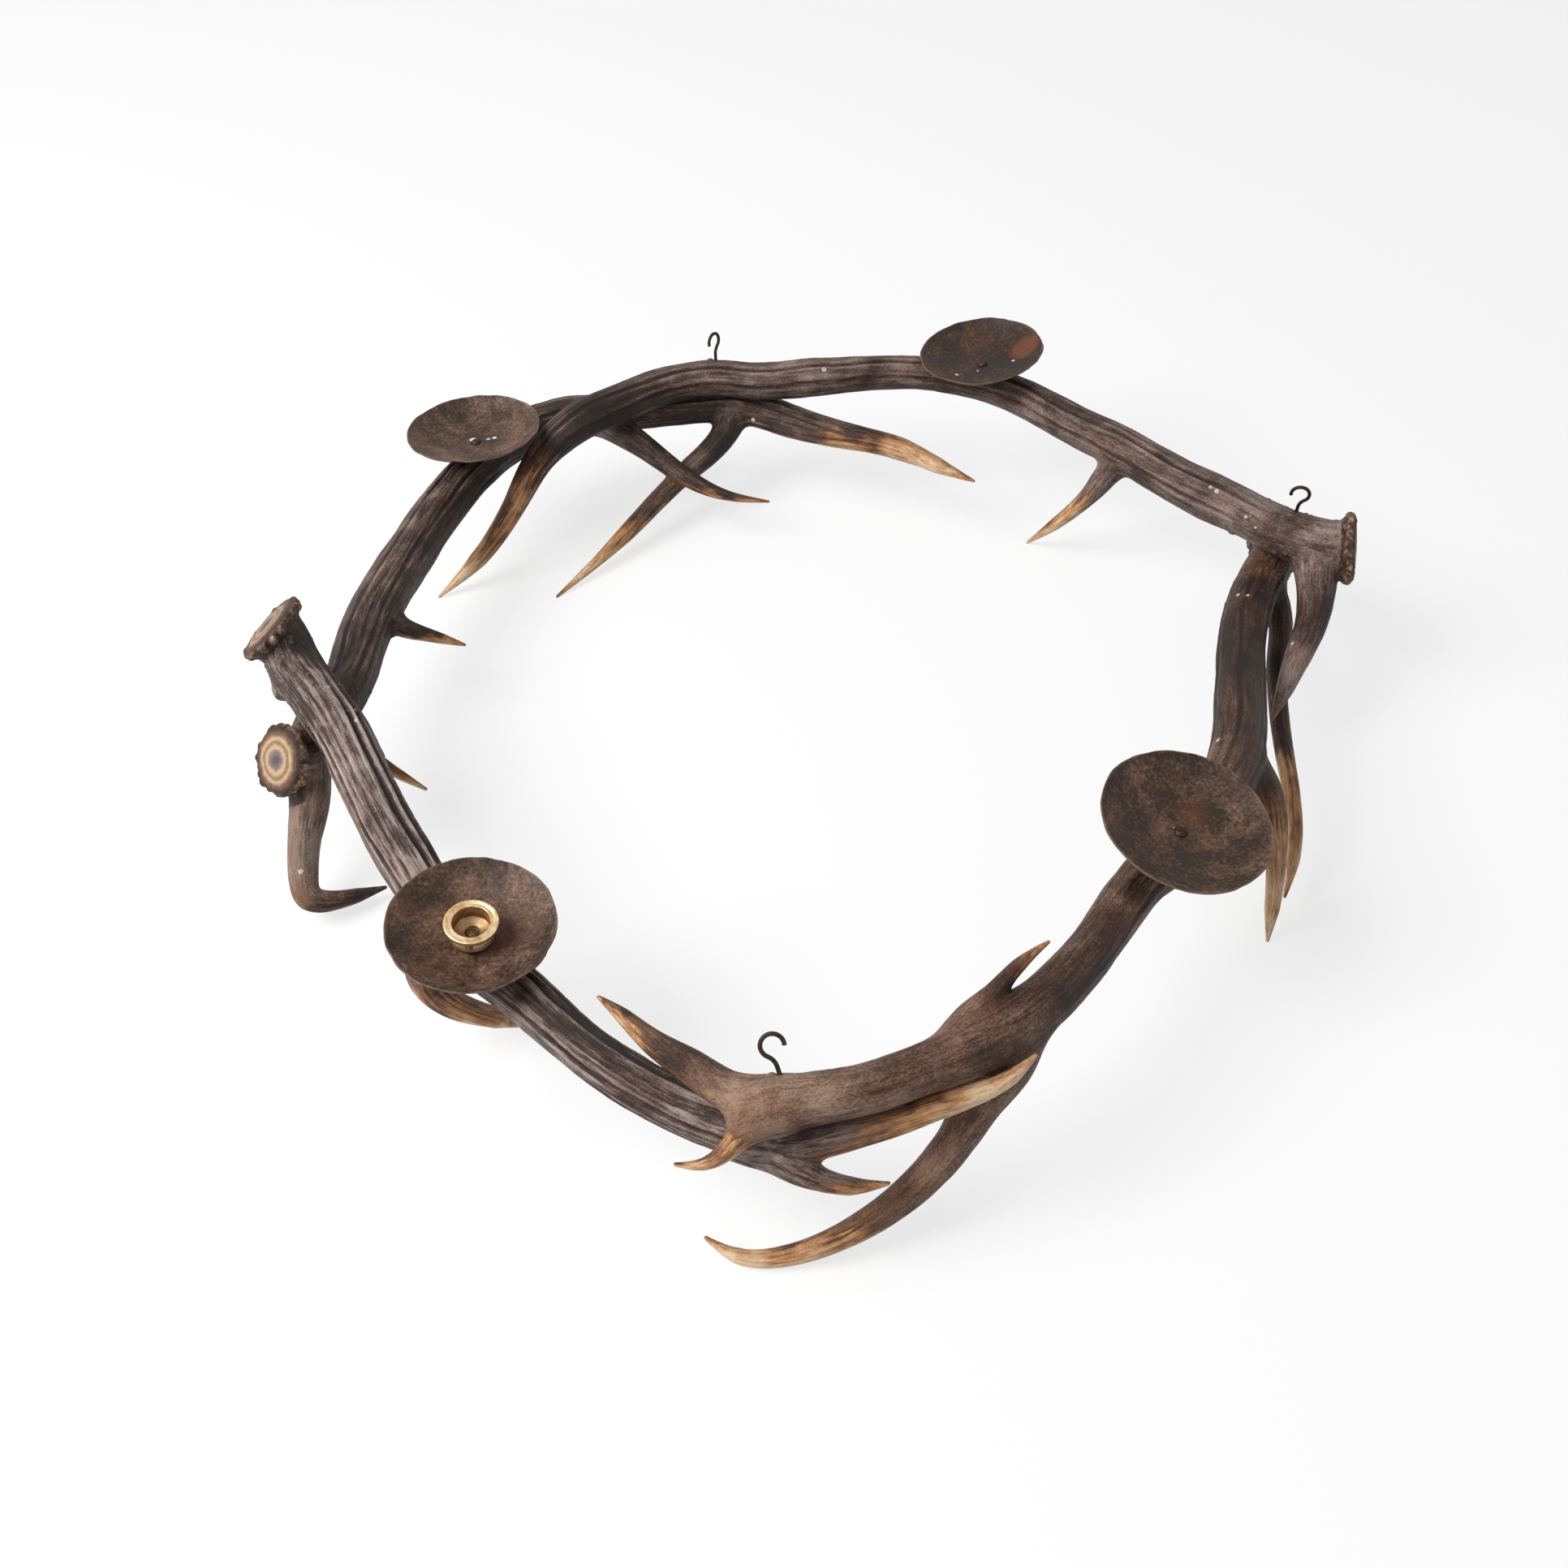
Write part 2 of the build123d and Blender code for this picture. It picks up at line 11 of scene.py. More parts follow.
import bmesh
import bpy
import numpy as np
from mathutils import Matrix, Vector

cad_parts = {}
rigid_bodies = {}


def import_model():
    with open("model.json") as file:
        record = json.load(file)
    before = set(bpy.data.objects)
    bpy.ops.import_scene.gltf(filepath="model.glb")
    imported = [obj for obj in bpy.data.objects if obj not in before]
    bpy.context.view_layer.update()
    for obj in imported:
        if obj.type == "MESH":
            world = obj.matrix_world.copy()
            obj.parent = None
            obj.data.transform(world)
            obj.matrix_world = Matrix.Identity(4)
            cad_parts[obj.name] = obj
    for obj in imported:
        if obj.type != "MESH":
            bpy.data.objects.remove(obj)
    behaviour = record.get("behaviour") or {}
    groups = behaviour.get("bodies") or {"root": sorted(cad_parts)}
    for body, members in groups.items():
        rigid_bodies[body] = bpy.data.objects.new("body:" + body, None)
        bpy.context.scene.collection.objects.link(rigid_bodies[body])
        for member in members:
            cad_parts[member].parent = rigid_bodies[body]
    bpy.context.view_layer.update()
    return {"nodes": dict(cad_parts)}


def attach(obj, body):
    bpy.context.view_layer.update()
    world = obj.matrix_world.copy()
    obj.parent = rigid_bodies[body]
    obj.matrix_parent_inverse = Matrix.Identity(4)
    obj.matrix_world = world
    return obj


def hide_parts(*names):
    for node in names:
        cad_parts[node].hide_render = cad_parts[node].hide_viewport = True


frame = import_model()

MM = 0.001

# ------------------------------------------------------------------ the ring
MIDDLE_X = 7.0  # where the stations below have the middle of the ring
MIDDLE_Y = 2.0
NOTCH = 2.0  # how deep each antler is notched where two of them cross
NOTCH_REACH = 60.0  # from a crossing's middle to the end of its notch
HEADING_SAMPLES = 8  # each side of a crossing, from which a beam's direction is taken
SADDLE_AIR = 0.9  # between an antler and the saddle cut for it in the other one
FLAT_AIR = 0.05  # between a notch's flat and the plane in which two antlers meet
SADDLE_HEIGHT = 9.0  # how far past that plane the skin is cut back
SEAT_AIR = 0.02  # under a pan's collar
SEAT_HEIGHT = 9.0  # how far over a collar's seat the skin is planed away
FLOOR_AIR = 0.02  # under the tine tips that the ring lies on
TIP = 2.4  # blunt end of every tine

# ------------------------------------------------------------------ an antler's skin
SHAPING_TURNS = 3
PULL = 0.95  # how much of its way to the shape a point goes in one turn
SAMPLE = 1.0  # between the points at which an antler's middle line is followed
FEWEST_SAMPLES = 8
TUBE_SAMPLE = 4  # samples from one round of the rough tube to the next
TUBE_SIDES = 20
SKIN = 1.32  # spacing of the points on an antler's finished skin
STOUTEST_TIP = 1.15  # least radius of the rough tubes, so that no tip is lost in wrapping
WEB = 7.0  # how far a tine's root spreads where it leaves its beam
REACH = 24.0  # how far from a branch its surroundings are measured
BATCH = 4096  # points measured at a time
FAR_OFF = 1000.0
TINY = 1e-6
TINE_OFFSET = 300.0  # between two tines' grain, so that no two look alike
ROOT_BLEND = (-2.0, 6.0)  # how much nearer a tine than the beam is where its skin takes over

# ------------------------------------------------------------------ relief of the skin
# Waves are per millimetre: across the grain twice, and along it.
SWELLING = 0.7
SWELLING_WAVES = (1 / 21, 1 / 21, 1 / 42)
WANDER = 2.5  # how far the grooves stray to the side
WANDER_LENGTHS = (30, 30, 70)
GROOVE = 0.8
GROOVE_WAVES = (1 / 9, 1 / 9, 1 / 170)
GROOVE_WIDTH = 0.15  # share of the noise, either side of 0, that is a groove
RIDGE = 0.42
RIDGE_WAVES = (1 / 4.2, 1 / 4.2, 1 / 60)
GRIT = 0.12
GRIT_WAVES = (1 / 2.4, 1 / 2.4, 1 / 6)
FULL_RELIEF = 16.0  # radius from which a branch has all of its relief
LEAST_BEAM = 4.0  # radius below which a beam loses no more of it
LEAST_TINE = 2.5
TINE_SEED = 40  # from a beam's own relief to its tines'
FURROW_SWAY = 5.0  # degrees
FURROW_SWAY_LENGTH = 55.0
FURROW_START = 40.0  # over which a furrow deepens
FURROW_END = 60.0
BANK = 0.5  # of a furrow's depth
BANK_AWAY = 2.1  # from the furrow's middle, in its half widths
BANK_WIDTH = 0.9

# ------------------------------------------------------------------ coronets
CORONET_HEIGHT = 9.0
CORONET_BEAD = 3.6  # rounding of the rim
CORONET_CORE = 0.42  # from the sawn face to the disc's middle, as a share of the height
CORONET_WEB = 6.0
CORONET_SINK = 1.6  # how far the disc's edge lies inside the pearls
CORONET_LUMP = 0.9  # how uneven that edge is
CORONET_LUMPS = 2.1  # and how often
CORONET_RISE = 1.5  # of the domed sawn face
CORONET_PEARLS = 34  # knobs round one rim
CORONET_PEARL = (2.2, 3.8)  # their least and largest radius
PEARL_WEB = 1.1
NECK_PEARLS = 210  # small knobs on the beam behind one coronet
NECK_PEARL = (0.9, 2.0)
NECK_START = 7.0  # from the sawn face to the first of them
NECK_REACH = 95.0  # how far up the beam they go
NECK_SMOOTH = (6.0, 18.0)  # behind the face, over which the beam's relief begins
SAW_PIT = 0.28  # depth of the pores in a sawn face
SAW_PIT_SIZE = 2.9
SAW_LIP = 1.3  # height of the face's raised edge
SAW_LIP_OUTSIDE = 1.5  # from the rim in to where the lip is full
SAW_LIP_INSIDE = 4.5
SAW_REACH = 7.0  # how far past the rim the saw went
SAW_DEPTH = 25.0  # behind the face, past which nothing is cut
SAWN_SKIN = (-1.6, -0.2)  # heights by the face over which the horn takes the sawn colours
SAWN_DEEPEST = 3.0
CRUST_INSIDE = (7.0, 3.0)  # from the rim in, over which the coronet's crust comes on
CRUST_BEHIND = (-14.0, -9.0)  # heights behind the face over which it ends
PEARL_SKIN = (-0.9, 0.6)  # depths by a pearl's skin over which its paler horn comes on

# ------------------------------------------------------------------ drip pans
PAN_DEPTH = 15.0
PAN_SHEET = 1.4
PAN_BOSS_MARGIN = 0.5  # flat middle of a pan, past the socket's wall
PAN_BOWL = ((0.62, 1.6), (0.38, 3.2))  # shares and powers of the dish's rise to its rim
PAN_SEAT = 2.0
PAN_SEAT_MARGIN = 2.5
PAN_RIM_ROLL = 0.75  # radius of the rolled edge
PAN_STEPS = 192
PAN_ROUNDS = 56
PAN_SEED = 61
PAN_SEEDS_APART = 7
DENT = 0.55  # depth of the hammer's dents
DENT_SIZE = 17.0
SMALL_DENT = 0.22
SMALL_DENT_SIZE = 7.5
DENTED_FROM = (14.0, 22.0)  # radius over which the flat middle turns into the beaten dish
RIM_WANDER = 0.9  # how far the rim is from round
RIM_WAVE = 0.7  # how far it is from level
FOOT = 16.0
FOOT_HEIGHT = 4.0

# ------------------------------------------------------------------ candle socket
SOCKET_BORE = 22.0
SOCKET_WALL = 1.5
SOCKET_FLARE = 3.5
SOCKET_LIP_HEIGHT = 3.2
SOCKET_LIP_ROUNDING = 0.8
SOCKET_MOUTH_ROUNDING = 0.5
SOCKET_COVE = 3.0  # below the lip, where the wall begins to flare
SOCKET_BAND = 0.7  # how far the band near the foot stands out
SOCKET_EDGE = 0.3  # broken edges
SOCKET_HEIGHT = 15.0
SOCKET_FLOOR = 5.0
SOCKET_STEPS = 128

# ------------------------------------------------------------------ screws and hooks
SCREW = 4.0
SCREW_AIR = 0.15  # round a screw in its hole
SCREW_HOLE = SCREW / 2 + SCREW_AIR
SCREW_HEAD = 8.0
SCREW_HEAD_HEIGHT = 2.6
SCREW_HEAD_AIR = 0.3  # round the head in its recess
SCREW_DOME = 1.1  # how far under the head's seat its dome has its centre
SCREW_DOME_WIDTH = 7.1  # of the dome as it is drawn, before it is stretched to the head
SCREW_SLOT = 1.1
SCREW_SLOT_DEPTH = 1.2
SCREW_SLOT_SPREAD = 1.25  # how much wider than its slot the sunk points reach
SCREW_SLOT_LOWEST = 0.9  # height in the head below which nothing is sunk
SCREW_LEAD = 1.8  # height of one turn of the thread
SCREW_PLAIN = 6.0  # length under the head without a thread
SCREW_CORE = SCREW / 2 - 0.35  # radius of the threaded part's core
SCREW_THREAD = 0.34  # radius of the thread's ridge
SCREW_STEPS = 72
PAN_SCREW_BITE = 17.0
HEAD_SINK = 0.4  # of the socket screw's head below the socket's floor
HOOK_WIRE = 2.6
HOOK_SIDES = 16
HOOK_BOWL = 6.5
HOOK_HEIGHT = 17.0
HOOK_OFFSET = 1.0
HOOK_SWING = 50.0
HOOK_TURN = 245.0
HOOK_BITE = 15.0
HOOK_STEM_STEPS = 12
HOOK_SWING_STEPS = 7
HOOK_BOWL_STEPS = 40


# A station is a place on an antler's middle line and the antler's diameter there.
def in_ring(station):
    """A station moved into the ring's own frame."""
    x, y, z, girth = station
    return (x - MIDDLE_X, y - MIDDLE_Y, z, girth)


def above(crossing):
    """The station of the antler that lies on top at a crossing."""
    x, y, seat, girth, _ = crossing
    return (x, y, seat + girth / 2 - NOTCH, girth)


def below(crossing):
    """The station of the antler that lies underneath at a crossing."""
    x, y, seat, _, girth = crossing
    return (x, y, seat - girth / 2 + NOTCH, girth)


# Each crossing: x, y, the height of the flat faces that meet there, and the diameters
# of the upper and the lower antler.
LEFT = (-340, -28, 93, 36, 35)
RIGHT = (347, 152, 92, 36, 34)
BACK = (-100, 366, 91, 31, 28)
FRONT = (-40, -362, 96, 28, 27)

# The stations that carry a drip pan.
FRONT_LEFT_PAN = (-203, -248, 96, 32)
FRONT_RIGHT_PAN = (219, -165, 95, 35)
BACK_RIGHT_PAN = (141, 352, 111, 28.5)
BACK_LEFT_PAN = (-270, 278, 81, 35)

# The stations where a suspension hook is screwed in.
BACK_HOOK = (-80, 367, 106, 30)
RIGHT_HOOK = (357, 143, 109, 36.5)
FRONT_HOOK = (-25, -359, 110, 30)

# ------------------------------------------------------------------ front left antler
FRONT_LEFT_BEAM = [
    (-369, 8, 132, 38), (-363, 3, 124, 36), (-356, -7, 115, 35), above(LEFT),
    (-313, -69, 107, 36), (-289, -114, 105, 34), (-269, -151, 102, 34.5), (-240, -198, 99, 34),
    FRONT_LEFT_PAN, (-178, -270, 95, 30), (-141, -304, 91, 28), (-102, -333, 88, 28),
    (-68, -350, 84, 29), below(FRONT),
]
FRONT_LEFT_TINES = {
    "sawn brow": [
        (-351, -12, 113, 28), (-358, -13, 105, 23), (-364, -14, 98, 17),
    ],
    "middle": [
        (-226, -220, 92, 24), (-241, -230, 74, 22), (-237, -237, 53, 20), (-221, -238, 35, 17),
        (-202, -235, 21, 13), (-187, -231, 8, TIP),
    ],
    "upper crown": [
        (-46, -361, 84, 24), (-19, -366, 82, 20), (7, -363, 85.5, 20), (36, -356, 89.5, 18),
        (62, -349, 94.5, 16), (84, -343, 98, 12.5), (102, -336, 103, 8.5),
        (115, -326, 108, TIP),
    ],
    "lower crown": [
        (-46, -361, 82, 24), (-17, -376, 75, 18), (-4, -380, 70, 13.5), (12, -382, 66, 10.5),
        (34, -378, 62, TIP),
    ],
}

# ------------------------------------------------------------------ front right antler
FRONT_RIGHT_BEAM = [
    (364, 187, 69, 39), (357, 172, 72, 36), below(RIGHT), (337, 134, 77, 34), (317, 91, 78, 34),
    (301, 33, 80, 34), (289, -24, 84, 35), (273, -81, 89, 37), (248, -126, 92, 36),
    FRONT_RIGHT_PAN, (198, -187, 98, 31), (158, -246, 103, 29), (122, -290, 107, 31),
    (83, -322, 110, 32), (51, -338, 111, 28), (18, -351, 111, 27), FRONT_HOOK, above(FRONT),
]
FRONT_RIGHT_TINES = {
    "inner crown": [
        (-24, -358, 109, 28), (-53, -351, 110, 22), (-74, -337, 113, 19), (-94, -325, 118, 14),
        (-111, -311, 123, 9), (-125, -301, 127, TIP),
    ],
    "outer crown": [
        (-28, -360, 109, 26), (-44, -373, 104, 15), (-53, -380, 98, 11), (-65, -384, 91, 7),
        (-81, -382, 87, TIP),
    ],
    "small": [
        (68, -326, 108, 22), (75, -311, 116, 16), (91, -296, 122, 11.5), (108, -279, 127, 8.5),
        (126, -265, 131, TIP),
    ],
    "long": [
        (112, -300, 106, 30), (101, -319, 90, 31), (86, -333, 74, 27), (73, -348, 58, 22),
        (53, -364, 40, 20), (33, -375, 28, 17.5), (7, -385, 16, 14.5), (-23, -391, 7, 12),
        (-49, -391, 7.5, 9), (-67, -384, 15, TIP),
    ],
    "brow": [
        (338, 134, 76, 26), (349, 114, 61, 19), (344, 80, 50, 16), (336, 36, 42, 14.5),
        (332, -21, 33, 13), (330, -67, 24, 11), (324, -98, 17, 9), (314, -125, 10, TIP),
    ],
    "bez": [
        (280, -72, 88, 26), (297, -87, 72, 20), (302, -105, 56, 17), (303, -123, 36, 13),
        (301, -141, 16, 10), (298, -156, TIP / 2, TIP),
    ],
}

# ------------------------------------------------------------------ back right antler
BACK_RIGHT_BEAM = [
    (392, 126, 111, 40), (381, 130, 109, 39), RIGHT_HOOK, above(RIGHT), (331, 166, 109, 35),
    (302, 195, 109, 36), (274, 224, 109, 34.5), (246, 255, 110, 33), (208, 292, 111, 31),
    (170, 332, 111, 30), BACK_RIGHT_PAN, (82, 368, 111, 27), (27, 366, 110, 29),
    (0, 363, 109, 32), (-28, 362, 107, 30), (-52, 364, 105.5, 29), BACK_HOOK, above(BACK),
    (-130, 352, 105, 30), (-158, 329, 106, 31), (-185, 306, 106, 32), (-204, 290, 100, 29),
    (-220, 279, 87, 24), (-241, 262, 56, 19), (-272, 229, 23, 14), (-304, 207, TIP / 2, TIP),
]
BACK_RIGHT_TINES = {
    "small": [
        (246, 254, 108, 28), (234, 251, 90, 20), (223, 261, 60, 14.5), (202, 267, 30, 10),
        (183, 280, TIP / 2, TIP),
    ],
    "brow": [
        (370, 131, 104, 36), (369, 108, 92, 29), (363, 83, 80, 24), (350, 56, 70, 20),
        (336, 29, 60, 13), (324, 6, 50, TIP),
    ],
}

# ------------------------------------------------------------------ back left antler
BACK_LEFT_BEAM = [
    (-353, -77, 91, 36), (-346, -62, 82, 34), (-342, -45, 78, 34), below(LEFT),
    (-331, 10, 76, 34), (-328, 58, 77, 36), (-321, 110, 78, 37), (-307, 165, 80, 36),
    (-289, 230, 81, 35), BACK_LEFT_PAN, (-238, 328, 79, 36), (-206, 352, 77, 35),
    (-160, 361, 77, 31), below(BACK), (-64, 370, 77, 29), (-27, 357, 75, 29), (14, 336, 74, 24),
    (47, 325, 73, 20), (74, 315, 71, 19), (104, 297, 67, 13), (133, 282, 62, TIP),
]
BACK_LEFT_TINES = {
    "second crown": [
        (-65, 370, 75, 29), (-75, 347, 62, 22), (-103, 322, 46, 18.5), (-155, 268, 19, 14),
        (-208, 207, TIP / 2, TIP),
    ],
    "third crown": [
        (-178, 352, 76, 28), (-139, 324, 66, 20), (-101, 301, 50, 15), (-72, 288, 44, 9),
        (-36, 287, 38, TIP),
    ],
    "small": [
        (-321, 102, 78, 24), (-303, 83, 72, 15), (-290, 83, 66, 11), (-276, 84, 60, 8),
        (-260, 84, 54, TIP),
    ],
    "brow": [
        (-343, -64, 84, 32), (-339, -83, 68, 28), (-342, -105, 48, 22), (-343, -122, 31, 20),
        (-338, -135, 20, 18), (-323, -133, 15, 13), (-310, -126, 12, 10), (-293, -115, 8, TIP),
    ],
    "bez": [
        (-339, -19, 76, 24), (-323, -28, 66, 17), (-304, -41, 57, 10), (-286, -50, 50, 7),
        (-269, -57, 44, TIP),
    ],
}


# ------------------------------------------------------------------ noise
def directions(seed):
    """A table of 256 fixed directions."""
    arrows = np.random.default_rng(seed).normal(size=(256, 3))
    return arrows / np.linalg.norm(arrows, axis=1)[:, None]


ARROWS = directions(7)
CORNERS = [(i, j, k) for i in (0, 1) for j in (0, 1) for k in (0, 1)]


def noise(points, seed):
    """Smooth noise from about -1 to 1 at rows of points one unit coarse."""
    cell = np.floor(points).astype(np.int64)
    part = points - cell
    ease = part**3 * (part * (part * 6 - 15) + 10)
    total = np.zeros(len(points))
    for corner in CORNERS:
        at = cell + np.array(corner)
        mixed = at[:, 0] * 73856093 ^ at[:, 1] * 19349663 ^ at[:, 2] * 83492791 ^ seed * 2654435
        mixed = ((mixed ^ (mixed >> 13)) * 1274126177) & 0x7FFFFFFF
        arrow = ARROWS[(mixed ^ (mixed >> 15)) & 255]
        share = np.prod(np.where(corner, ease, 1 - ease), axis=1)
        total += share * np.einsum("ij,ij->i", arrow, part - np.array(corner))
    return total * 1.6


def rough(points, seed, octaves=3):
    """Noise with ever finer octaves on top."""
    total = np.zeros(len(points))
    for i in range(octaves):
        total += noise(points * 2**i, seed + i) / 2**i
    return total


def ramp(values, start, end):
    """0 before start, 1 after end, eased between them."""
    share = np.clip((values - start) / (end - start), 0, 1)
    return share * share * (3 - 2 * share)


# ------------------------------------------------------------------ lines and frames
def unit(vector):
    """The direction of a vector."""
    vector = np.array(vector, float)
    return vector / np.linalg.norm(vector)


def lengths(arrows):
    """Each arrow's length, never quite nothing."""
    return np.maximum(np.linalg.norm(arrows, axis=1), TINY)


def spline(points, count):
    """Rows on the smooth curve through a few rows, evenly spaced along its chords."""
    steps = np.linalg.norm(np.diff(points[:, :3], axis=0), axis=1)
    marks = np.concatenate([[0], np.cumsum(steps)])
    size = len(points)
    system = np.zeros((size, size))
    right = np.zeros((size, 3))
    system[0, 0] = 1
    system[-1, -1] = 1
    for i in range(1, size - 1):
        before = steps[i - 1]
        after = steps[i]
        system[i, i - 1 : i + 2] = before, 2 * (before + after), after
        rise = (points[i + 1, :3] - points[i, :3]) / after
        right[i] = 6 * (rise - (points[i, :3] - points[i - 1, :3]) / before)
    bend = np.linalg.solve(system, right)
    along = np.linspace(0, marks[-1], count)
    i = np.clip(np.searchsorted(marks, along, side="right") - 1, 0, size - 2)
    step = steps[i][:, None]
    ahead = (marks[i + 1] - along)[:, None]
    behind = (along - marks[i])[:, None]
    here = points[i, :3]
    there = points[i + 1, :3]
    middle = (bend[i] * ahead**3 + bend[i + 1] * behind**3) / (6 * step)
    middle += (here / step - bend[i] * step / 6) * ahead
    middle += (there / step - bend[i + 1] * step / 6) * behind
    girth = np.interp(along, marks, points[:, 3])
    return middle, girth


class Branch:
    """A beam or a tine: its middle line, its thickness and a frame carried along it."""

    def __init__(self, stations):
        rows = np.array([in_ring(station) for station in stations], float)
        chord = np.linalg.norm(np.diff(rows[:, :3], axis=0), axis=1).sum()
        self.middle, girth = spline(rows, max(FEWEST_SAMPLES, int(chord / SAMPLE)))
        self.radius = girth / 2
        self.along = np.gradient(self.middle, axis=0)
        self.along /= np.linalg.norm(self.along, axis=1)[:, None]
        steps = np.linalg.norm(np.diff(self.middle, axis=0), axis=1)
        self.travel = np.concatenate([[0], np.cumsum(steps)])
        self.side = np.zeros_like(self.middle)
        side = np.array([0.0, 0.0, 1.0]) + 0.01 * self.along[0]
        for i, facing in enumerate(self.along):
            side = side - facing * side.dot(facing)
            side /= np.linalg.norm(side)
            self.side[i] = side
        self.across = np.cross(self.along, self.side)

    def length(self):
        return self.travel[-1]

    def look(self, points):
        """How far points lie outside the branch, which way out, and where they are on it."""
        gap = np.full(len(points), FAR_OFF)
        index = np.zeros(len(points), int)
        low = self.middle.min(0) - self.radius.max() - REACH
        high = self.middle.max(0) + self.radius.max() + REACH
        near = np.flatnonzero(((points > low) & (points < high)).all(1))
        for start in range(0, len(near), BATCH):
            rows = near[start : start + BATCH]
            arm = points[rows, None].astype(np.float32) - self.middle[None].astype(np.float32)
            depth = np.sqrt(np.einsum("ijk,ijk->ij", arm, arm)) - self.radius[None]
            nearest = depth.argmin(1)
            index[rows] = nearest
            gap[rows] = depth[np.arange(len(rows)), nearest]
        arm = points - self.middle[index]
        out = arm / lengths(arm)[:, None]
        return gap, out, index

    def straight(self, points, index):
        """Where points would be on the same branch drawn out straight along z."""
        arm = points - self.middle[index]
        x = (arm * self.side[index]).sum(1)
        y = (arm * self.across[index]).sum(1)
        z = self.travel[index] + (arm * self.along[index]).sum(1)
        return np.stack([x, y, z], 1)


class Pearls:
    """A cluster of small round knobs."""

    def __init__(self, middles, radii):
        self.middle = np.array(middles, float).reshape(-1, 3)
        self.radius = np.array(radii, float)

    def look(self, points):
        """How far points lie outside the nearest knob, and which way out."""
        gap = np.full(len(points), FAR_OFF)
        out = np.zeros_like(points)
        for middle, radius in zip(self.middle, self.radius):
            near = np.abs(points - middle).max(1) < radius + 3 * PEARL_WEB
            arm = points[near] - middle
            far = lengths(arm)
            better = far - radius < gap[near]
            rows = np.flatnonzero(near)[better]
            gap[rows] = (far - radius)[better]
            out[rows] = (arm / far[:, None])[better]
        return gap, out


def grown_together(first, first_out, second, second_out, web):
    """Two shapes' gaps and directions joined with a web of that reach between them."""
    share = np.clip(0.5 + (second - first) / (2 * web), 0, 1)
    gap = second * (1 - share) + first * share - web * share * (1 - share)
    out = first_out * share[:, None] + second_out * (1 - share[:, None])
    out /= lengths(out)[:, None]
    return gap, out


# ------------------------------------------------------------------ node trees
def put(tree, kind, inputs=None, **settings):
    """A node, its settings, and its inputs as values or as other nodes' outputs."""
    node = tree.nodes.new(kind)
    for name, value in settings.items():
        setattr(node, name, value)
    for name, value in (inputs or {}).items():
        for item in value if isinstance(value, list) else [value]:
            if isinstance(item, bpy.types.NodeSocket):
                tree.links.new(item, node.inputs[name])
            else:
                node.inputs[name].default_value = item
    return node


def wired(tree, kind, output, inputs=None, **settings):
    """The same, where only one of the node's outputs is wanted."""
    return put(tree, kind, inputs, **settings).outputs[output]


def new_tree(name, **inputs):
    """An empty shaping tree and what it is given, by name and kind."""
    tree = bpy.data.node_groups.new(name, "GeometryNodeTree")
    for key, kind in inputs.items():
        key = key.replace("_", " ")
        tree.interface.new_socket(key, in_out="INPUT", socket_type=f"NodeSocket{kind}")
    tree.interface.new_socket("Shape", in_out="OUTPUT", socket_type="NodeSocketGeometry")
    return tree, put(tree, "NodeGroupInput").outputs


def end_tree(tree, shape, material):
    """Makes a tree's shape real, gives it its material and hands it out."""
    real = wired(tree, "GeometryNodeRealizeInstances", "Geometry", {"Geometry": shape})
    dressing = {"Geometry": real, "Material": material}
    painted = wired(tree, "GeometryNodeSetMaterial", "Geometry", dressing)
    put(tree, "NodeGroupOutput", {"Shape": painted})
    return tree


def ring_of(tree, sides, radius):
    """A round profile."""
    sizes = {"Resolution": sides, "Radius": radius}
    return wired(tree, "GeometryNodeCurvePrimitiveCircle", "Curve", sizes)


def tube(tree, path, profile):
    """A capped tube of a profile along a path."""
    parts = {"Curve": path, "Profile Curve": profile, "Fill Caps": True}
    return put(tree, "GeometryNodeCurveToMesh", parts)


def joined(tree, *shapes):
    """Several shapes as one."""
    return wired(tree, "GeometryNodeJoinGeometry", "Geometry", {"Geometry": list(shapes)})


def growing_tree():
    """Swells the edges of a drawing into tubes and its marked points into knobs."""
    tree, given = new_tree("grown antler", Drawing="Geometry", Sides="Int", Horn="Material")
    stored = "GeometryNodeInputNamedAttribute"
    thick = wired(tree, stored, "Attribute", {"Name": "thickness"}, data_type="FLOAT")
    knob = wired(tree, stored, "Attribute", {"Name": "knob"}, data_type="FLOAT")
    lines = wired(tree, "GeometryNodeMeshToCurve", "Curve", {"Mesh": given["Drawing"]})
    swelling = {"Curve": lines, "Radius": thick}
    swollen = wired(tree, "GeometryNodeSetCurveRadius", "Curve", swelling)
    tubes = tube(tree, swollen, ring_of(tree, given["Sides"], 1.0))
    if "Scale" in tubes.inputs:
        tree.links.new(thick, tubes.inputs["Scale"])
    marked = wired(
        tree,
        "FunctionNodeCompare",
        "Result",
        {"A": knob, "B": 0.0},
        data_type="FLOAT",
        operation="GREATER_THAN",
    )
    ball = wired(tree, "GeometryNodeMeshIcoSphere", "Mesh", {"Radius": 1.0, "Subdivisions": 3})
    knobs = wired(
        tree,
        "GeometryNodeInstanceOnPoints",
        "Instances",
        {"Points": given["Drawing"], "Selection": marked, "Instance": ball, "Scale": knob},
    )
    return end_tree(tree, joined(tree, knobs, tubes.outputs["Mesh"]), given["Horn"])


def socket_named(tree, name):
    """The identifier of a tree's named input."""
    for item in tree.interface.items_tree:
        if item.name == name and item.in_out == "INPUT":
            return item.identifier
    raise KeyError(name)


def shown(name, data):
    """A new object of that mesh, lamp or camera in the scene."""
    piece = bpy.data.objects.new(name, data)
    bpy.context.scene.collection.objects.link(piece)
    return piece


